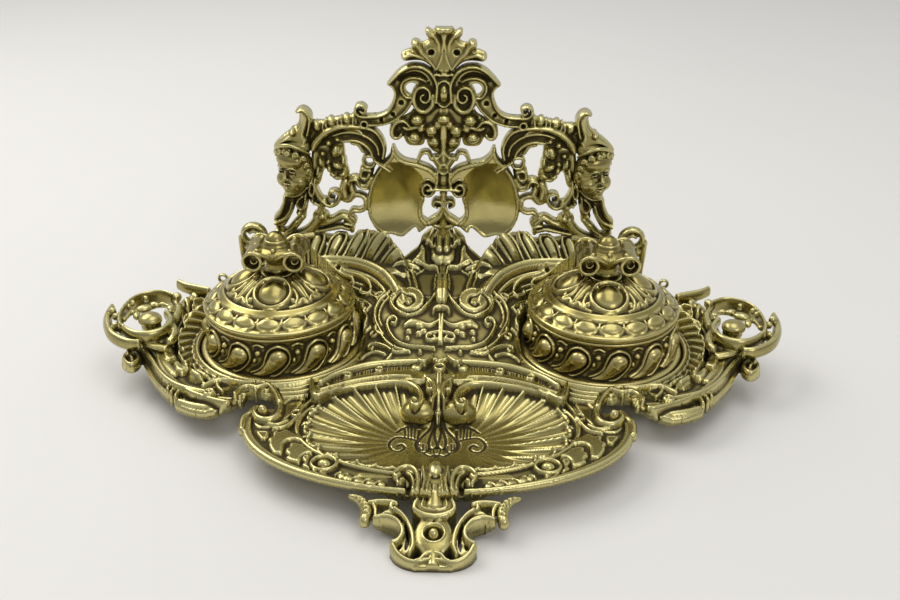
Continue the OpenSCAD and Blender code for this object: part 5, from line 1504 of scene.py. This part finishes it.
    # polished dishes
    edge = [(19.8, 84.3), (20.9, 84.0), (21.7, 80.5), (24.3, 77.3), (27.3, 73.3), (29.9, 67.5), (31.3, 61.2),
            (31.1, 54.9), (29.2, 49.9), (26.5, 46.6), (24.2, 45.6), (21.3, 45.6), (18.6, 44.8), (16.6, 44.9),
            (14.3, 46.8), (11.6, 49.0), (10.6, 47.2), (9.3, 47.4), (6.0, 51.1), (8.5, 53.9), (8.5, 58.1),
            (7.6, 61.6), (8.4, 64.4), (8.3, 67.9), (6.4, 69.9), (3.1, 68.2), (1.7, 69.9), (2.6, 73.0), (5.3,
                75.7), (10.1, 77.6), (15.4, 78.8), (18.1, 81.0), (19.3, 83.3)]
    w, s = R.loop(edge)
    bowl = np.clip(1 - ((np.abs(R.U[w]) - 19.0) / 13.4) ** 2 - ((R.V[w] - 60.5) / 17.5) ** 2, 0, 1)
    hollow = 1.0 * ramp(-s, 0.2, 0.9) - 0.5 * ramp(-s, 0.9, 1.6) - 3.4 * bowl
    R.H[w] = np.where(s < 0, R.B[w] + 2.6 + hollow, R.H[w])
    R.S[w] = np.minimum(R.S[w], s)
    R.twin = False
    w, s = R.loop(np.array(edge) * np.array([-1, 1]))
    bowl = np.clip(1 - ((np.abs(R.U[w]) - 19.0) / 13.4) ** 2 - ((R.V[w] - 60.5) / 17.5) ** 2, 0, 1)
    hollow = 1.0 * ramp(-s, 0.2, 0.9) - 0.5 * ramp(-s, 0.9, 1.6) - 3.4 * bowl
    R.H[w] = np.where(s < 0, R.B[w] + 2.6 + hollow, R.H[w])
    R.S[w] = np.minimum(R.S[w], s)
    R.twin = True
    R.stroke([(2.6, 73.3), (2.5, 69.9), (3.5, 66.5), (5.5, 63.7), (8.1, 64.4), (8.3, 67.2), (6.7, 68.6),
              (5.1, 67.5), (5.6, 65.7)], [0.8, 1.0, 1.1, 1.1, 1.0, 0.9, 0.8, 0.7], 3.8)
    R.pit(21.1, 73.9, 1.7, 2.2)
    R.stroke([(21.3, 74.2), (24.3, 76.2), (27.7, 78.7)], [0.9, 1.0, 0.9], 4.6)
    # centre stem, clasp and small leaves
    R.stroke([(5.0, 78.8), (6.2, 81.5), (8.8, 81.2), (10.2, 78.5)], [0.8, 0.9, 0.9, 0.8], 2.6)
    R.stroke([(4.3, 79.4), (3.1, 77.4), (1.8, 75.4)], 0.9, 2.4)
    R.stroke([(0, 80), (0, 75), (0, 70), (0, 66)], [2.4, 2.2, 2.6, 2.0], [2.2, 2.0, 2.4, 2.0])
    R.stroke([(0.8, 75.3), (2.4, 78.1), (3.4, 79.8)], [0.9, 1.2, 0.8], 2.8)
    R.stroke(arc(0, 74.8, 1.7, 2.0, 0, 360, 24), 0.6, 3.0, raw=True)
    R.stroke([(0, 66.6), (3.5, 66.6), (6.5, 66.2)], 1.05, 4.6)
    R.stroke([(0, 64), (0, 60), (0, 55), (0, 49), (0, 44)], [1.6, 1.3, 1.6, 2.2, 2.6], 2.0)
    R.stroke([(-0.1, 56.6), (0.9, 60.1), (3.2, 60.9), (4.2, 59.1), (2.6, 58.1)], [0.9, 1.1, 0.9, 0.7], 2.8)
    R.stroke([(-0.1, 57.3), (1.6, 53.8), (4.6, 51.7), (6.3, 50.6)], [1.3, 1.6, 1.3], 2.6)
    R.stroke([(-0.7, 49.5), (2.6, 49.5), (5.3, 51.0)], [1.2, 1.2, 0.9], 2.0)
    # cap horn beside the head, collar lappets with beads
    R.patch([(54.0, 84.4), (53.4, 87.4), (54.3, 88.8), (53.1, 92.4), (52.5, 95.9), (53.5, 98.2), (55.4,
        99.5), (57.9, 98.9), (58.4, 97.4), (57.2, 96.8), (58.1, 92.9), (61.3, 90.2), (64.3, 87.9), (66.4,
            86.0), (68.2, 83.7), (67.6, 81.6), (64.2, 84.1), (61.7, 84.9), (58.5, 84.0), (56.2, 81.5)], 3.4,
            edge=1.8, lip=0.3)
    R.stroke([(54.3, 88.6), (53.3, 92.4), (52.9, 95.9), (54.1, 98.2), (55.9, 99.1), (57.7, 98.2)], [0.7, 0.8,
        0.9, 0.9, 0.8], 4.2)
    R.dome(59.9, 89.9, 1.5, 1.5, 5.6)
    R.patch([(55.2, 68.0), (60.0, 63.7), (65.1, 62.8), (65.8, 58.4), (68.2, 53.9), (71.0, 50.7), (70.4,
        48.4), (66.6, 48.4), (64.2, 51.5), (61.8, 56.1), (61.1, 60.1), (59.9, 52.9), (57.3, 53.7), (55.7,
            59.1), (55.0, 63.6), (54.1, 58.2), (52.4, 58.6), (52.5, 64.0)], 1.0, edge=0.8)
    R.stroke([(53.0, 67.5), (53.0, 64.0), (54.0, 62.2), (54.9, 64.0), (54.5, 66.7)], 0.55, 2.6)
    R.dome(53.9, 60.4, 1.0, 1.1, 3.2)
    R.stroke([(56.4, 63.1), (57.1, 58.7), (58.7, 56.4), (60.3, 58.3), (59.7, 60.5), (57.9, 62.3)], 0.65, 2.8)
    R.dome(59.5, 54.9, 1.35, 1.4, 3.6)
    R.stroke([(62.1, 59.6), (63.4, 55.6), (65.7, 52.7), (68.3, 51.3), (69.8, 50.6)], [0.8, 1.1, 1.1, 0.9],
             3.0)
    R.stroke([(65.2, 61.9), (65.7, 58.8), (67.6, 54.7), (69.9, 52.3)], [0.8, 1.0, 0.9], 2.6)
    R.dome(69.8, 50.6, 1.25, 1.25, 3.8)
    R.stroke([(55.6, 66.7), (58.2, 64.0), (61.2, 62.7), (64.1, 63.0)], [0.8, 1.0, 0.9], 3.4)
    R.stroke([(58.2, 53.3), (61.0, 50.1), (63.3, 47.4), (65.5, 46.0)], [1.4, 1.6, 1.6, 1.2], 2.8)
    R.stroke([(60.9, 51.5), (62.7, 48.8), (64.9, 47.4)], 0.5, 3.6, cut=False)
    R.patch([(64.3, 45.1), (65.4, 47.2), (68.7, 47.9), (71.8, 46.6), (72.4, 44.3), (69.1, 42.6), (65.7,
        43.0)], 2.8, edge=1.8)
    # rail at the foot of the gallery
    R.patch([(30, 41), (69, 41), (69, 45.2), (60, 46.2), (46, 44.2), (30, 43.4)], 0.5, edge=0.5, smooth=False)
    R.patch([(0, 41), (7, 41), (6, 43.5), (3, 46), (0, 47)], 0.5, edge=0.5, smooth=False)
    R.blur(1)
    R.edge = edge
    return R


def dish_polish(R):
    """Thin bright skin of one polished dish, laid on the casting."""
    columns, rows = (R.u > 3) & (R.u < 37), (R.v > 42) & (R.v < 82)
    P = Relief(R.u[columns][0], R.u[columns][-1], R.v[rows][0], R.v[rows][-1], R.cell)
    P.H = R.H[np.ix_(columns, rows)] + 0.1
    w, s = P.loop(R.edge)
    bowl = np.clip(1 - ((P.U - 19.0) / 13.4) ** 2 - ((P.V - 60.5) / 17.5) ** 2, 0, 1)
    P.H = np.maximum(np.where(bowl > 0, 3.7 - 3.4 * bowl, P.H) + 0.06, P.H - 0.06)
    P.S[w] = s + 1.1
    P.B = P.H - 0.55
    return P


def putto_head():
    """A round child's face under a soft cap, facing -y. Its proportions follow the photo."""
    parts = [ball((0, 0.8, 1.2), (7.2, 6.4, 8.4)), ball((0, -1.0, -1.4), (6.8, 5.0, 7.2)), ball((0, -2.5,
        4.8), (6.0, 4.2, 4.0)),
             ball((0, -2.8, -6.0), (4.7, 3.8, 3.6)), ball((0, -5.4, -7.8), (2.4, 1.7, 1.7))]
    for m in (-1, 1):
        parts.append(ball((m * 3.1, -3.3, -3.6), (3.6, 3.4, 3.4)))
        parts.append(ball((m * 2.8, -5.2, 0.9), (1.3, 1.0, 0.9)))
        parts.append(tube([(m * 1.2, -6.3, 2.6), (m * 2.8, -6.4, 3.1), (m * 4.6, -5.3, 2.5)], [0.3, 0.36,
            0.24]))
        parts.append(tube([(m * 1.4, -5.9, 1.3), (m * 2.8, -6.45, 1.7), (m * 4.2, -5.6, 1.1)], [0.2, 0.28,
            0.2]))
        parts.append(tube([(m * 1.6, -6.0, 0.2), (m * 2.8, -6.3, 0.0), (m * 4.0, -5.6, 0.3)], [0.16, 0.22,
            0.16]))
        parts.append(ball((m * 0.8, -7.0, -1.7), (0.62, 0.6, 0.5)))
        parts.append(ball((m * 7.2, 0.4, -0.8), (1.0, 1.7, 2.3)))
        for a, z, k in ((0.3, 9.0, 1.4), (0.75, 8.4, 1.7), (1.15, 6.4, 1.7), (1.35, 3.4, 1.6), (1.45, 0.6,
            1.4), (1.5, -2.4, 1.4), (1.5, -5.0, 1.2)):
            c = np.array([m * 7.0 * math.sin(a), -6.2 * math.cos(a) + 0.2, z])
            out = np.array([m * math.sin(a), -math.cos(a), 0.1])
            side = np.array([math.cos(a), m * math.sin(a), 0.0])
            t = np.linspace(0, 5.2, 14)
            r = k * (1 - 0.11 * t)
            curl = c + r[:, None] * (np.cos(t + m)[:, None] * side + np.sin(t + m)[:, None] * np.array([0, 0,
                1.0])) * 0.75 + 0.14 * t[:, None] * out
            parts.append(tube(curl, 0.55, raw=True, sides=8))
            parts.append(ball(c - 0.45 * out, k * 0.9, n=10))
    parts.append(tube([(0, -6.3, 1.6), (0, -6.9, 0.0), (0, -7.6, -1.4)], [0.45, 0.6, 0.9]))
    parts.append(tube([(-1.7, -6.4, -4.1), (-0.7, -7.1, -3.7), (0, -6.95, -3.9), (0.7, -7.1, -3.7), (1.7,
        -6.4, -4.1)], [0.2, 0.42, 0.36, 0.42, 0.2]))
    parts.append(tube([(-1.2, -6.4, -4.9), (0, -7.0, -5.2), (1.2, -6.4, -4.9)], [0.22, 0.5, 0.22]))
    parts.append(ball((0, 0.8, -9.2), (3.6, 3.0, 3.6)))
    # soft hood with a rolled edge rising over the brow, and a small rosette under it
    parts.append(ball((0, 2.0, 9.6), (7.0, 5.6, 4.4)))
    parts.append(tube([(-7.4, 1.2, 7.4), (-6.2, -2.6, 10.4), (-3.4, -5.0, 12.2), (0, -5.7, 12.0), (3.2, -5.2,
        10.6), (6.2, -2.8, 8.0), (7.4, 0.6, 5.4)], [0.5, 0.65, 0.75, 0.8, 0.75, 0.65, 0.5]))
    parts.append(ball((0, -5.2, 9.4), (1.2, 1.2, 1.2)))
    for a in np.linspace(0.3, 5.33, 5):
        parts.append(ball((2.0 * math.cos(a), -4.9, 9.4 + 1.7 * math.sin(a)), (1.0, 0.9, 0.9), n=10))
    return fused(parts, voxel=0.25, rounds=1)


R = gallery_relief()
mesh_piece("gallery_casting", *R.solid(-1.6, upright), "stand", CAST, "gallery_brass", ["back_gallery"],
           low=R.low)
P = dish_polish(R)
for side, flip in (("left", True), ("right", False)):
    mesh_piece(f"{side}_dish_polish", *P.solid(P.B, upright, mirror=flip), "stand", POLISHED, "gallery_brass")
v, faces = putto_head()
# Darkens the pupils, the inner corners of the eyes and under the inner brows, the nostrils and the parting of
# the lips: painted shade for openings the mesh does not cut, with the patina that would gather in them. It is
# added to the cavity attribute.
dark = np.zeros(len(v))
for spot, size in (((2.8, -6.2, 0.85), (0.8, 1.0, 0.55)), ((1.5, -6.0, 0.9), (0.7, 1.0, 0.5)), ((0.85, -7.4,
    -2.1), (0.5, 0.7, 0.4)),
                   ((0, -7.0, -4.5), (1.7, 1.0, 0.3)), ((1.3, -6.6, 1.6), (0.6, 0.8, 1.2))):
    near = ((np.abs(v[:, 0]) - spot[0]) / size[0]) ** 2 + ((v[:, 1] - spot[1]) / size[1]) ** 2 + ((v[:,
        2] - spot[2]) / size[2]) ** 2
    dark = np.maximum(dark, 0.85 * np.exp(-near))
v = v * np.array([1.06, 0.95, 1.04]) @ (rotation("Z", 32) @ rotation("X", 6)).T + np.array([60.4, 74.9, 73.2])
v[:, 1] = np.minimum(v[:, 1], 78.4)
for side, flip in (("left", True), ("right", False)):
    mesh_piece(f"{side}_head_casting", *moved((v, faces), mirror=flip), "stand", CAST, "gallery_brass",
               low=dark)


# ---------------------------------------------------------------- floor, lights and camera
def plain(name, colour, roughness):
    mat = bpy.data.materials.new(name)
    mat.use_nodes = True
    tree = mat.node_tree
    place = tree.nodes.new("ShaderNodeTexCoord").outputs["Object"]
    cloud = node(tree, "ShaderNodeTexNoise", Vector=place, Scale=6.0, Detail=3.0).outputs[0]
    shader = tree.nodes["Principled BSDF"]
    tone = mix(tree, cloud, colour, [0.96 * c for c in colour[:3]] + [1])
    tree.links.new(tone, shader.inputs["Base Color"])
    shader.inputs["Roughness"].default_value = roughness
    return mat


bpy.ops.mesh.primitive_plane_add(size=6)
floor = bpy.context.object
floor.name = "floor"
floor.data.materials.append(plain("pale_floor", [0.74, 0.72, 0.68, 1], 0.6))


def area_light(name, place, target, size, power, colour=(1, 1, 1)):
    data = bpy.data.lights.new(name, "AREA")
    data.shape = "RECTANGLE"
    data.size, data.size_y = size
    data.energy = power
    data.color = colour
    obj = bpy.data.objects.new(name, data)
    bpy.context.scene.collection.objects.link(obj)
    toward = np.array(target, float) - np.array(place, float)
    obj.location = place
    obj.rotation_euler = Vector(toward).to_track_quat("-Z", "Y").to_euler()
    return obj


area_light("window", (-0.55, 0.35, 0.75), (0, 0, 0.03), (0.7, 0.5), 3.8, (1.0, 0.99, 0.97))
area_light("ceiling", (0.15, 0.0, 1.1), (0, 0, 0.03), (0.9, 0.6), 3.0)
area_light("front_fill", (0.5, -0.8, 0.6), (0, 0, 0.03), (0.5, 0.3), 1.2, (1.0, 0.98, 0.95))

world = bpy.data.worlds.new("studio")
bpy.context.scene.world = world
world.use_nodes = True
sky = world.node_tree
direction = sky.nodes.new("ShaderNodeTexCoord").outputs["Generated"]
axes = node(sky, "ShaderNodeSeparateXYZ", Vector=direction)
up = step_up(sky, axes.outputs["Z"], -0.05, 0.75)
back = step_up(sky, axes.outputs["Y"], -0.6, 0.5)
glow = maths(sky, "MULTIPLY_ADD", maths(sky, "MAXIMUM", up, back), 0.75, 0.22)
sky.links.new(mix(sky, glow, [0.16, 0.15, 0.14, 1], [0.92, 0.93, 0.95, 1]),
              sky.nodes["Background"].inputs["Color"])
sky.nodes["Background"].inputs["Strength"].default_value = 0.72

# A plain pinhole camera in front of the stand, looking down at it.
CAMERA_PLACE = (7.2576, FRONT_Y - 244.27, 220.02)
PITCH, YAW, ROLL = math.radians(27.355), math.radians(0.610), math.radians(-0.459)
right = np.array([1.0, 0, 0])
down = np.array([0, -math.sin(PITCH), -math.cos(PITCH)])
ahead = np.array([0, math.cos(PITCH), -math.sin(PITCH)])
right, down = math.cos(ROLL) * right + math.sin(ROLL) * down, -math.sin(ROLL) * right + math.cos(ROLL) * down
basis = rotation("Z", math.degrees(YAW)) @ np.stack([right, -down, -ahead], 1)
camera_data = bpy.data.cameras.new("camera")
camera_data.sensor_width = 36
camera_data.lens = 41.385
camera_data.clip_start = 0.01
camera = bpy.data.objects.new("camera", camera_data)
bpy.context.scene.collection.objects.link(camera)
pose = Matrix(basis.tolist()).to_4x4()
pose.translation = [c * MM for c in CAMERA_PLACE]
camera.matrix_world = pose
bpy.context.scene.camera = camera
bpy.context.scene.view_settings.view_transform = "Standard"
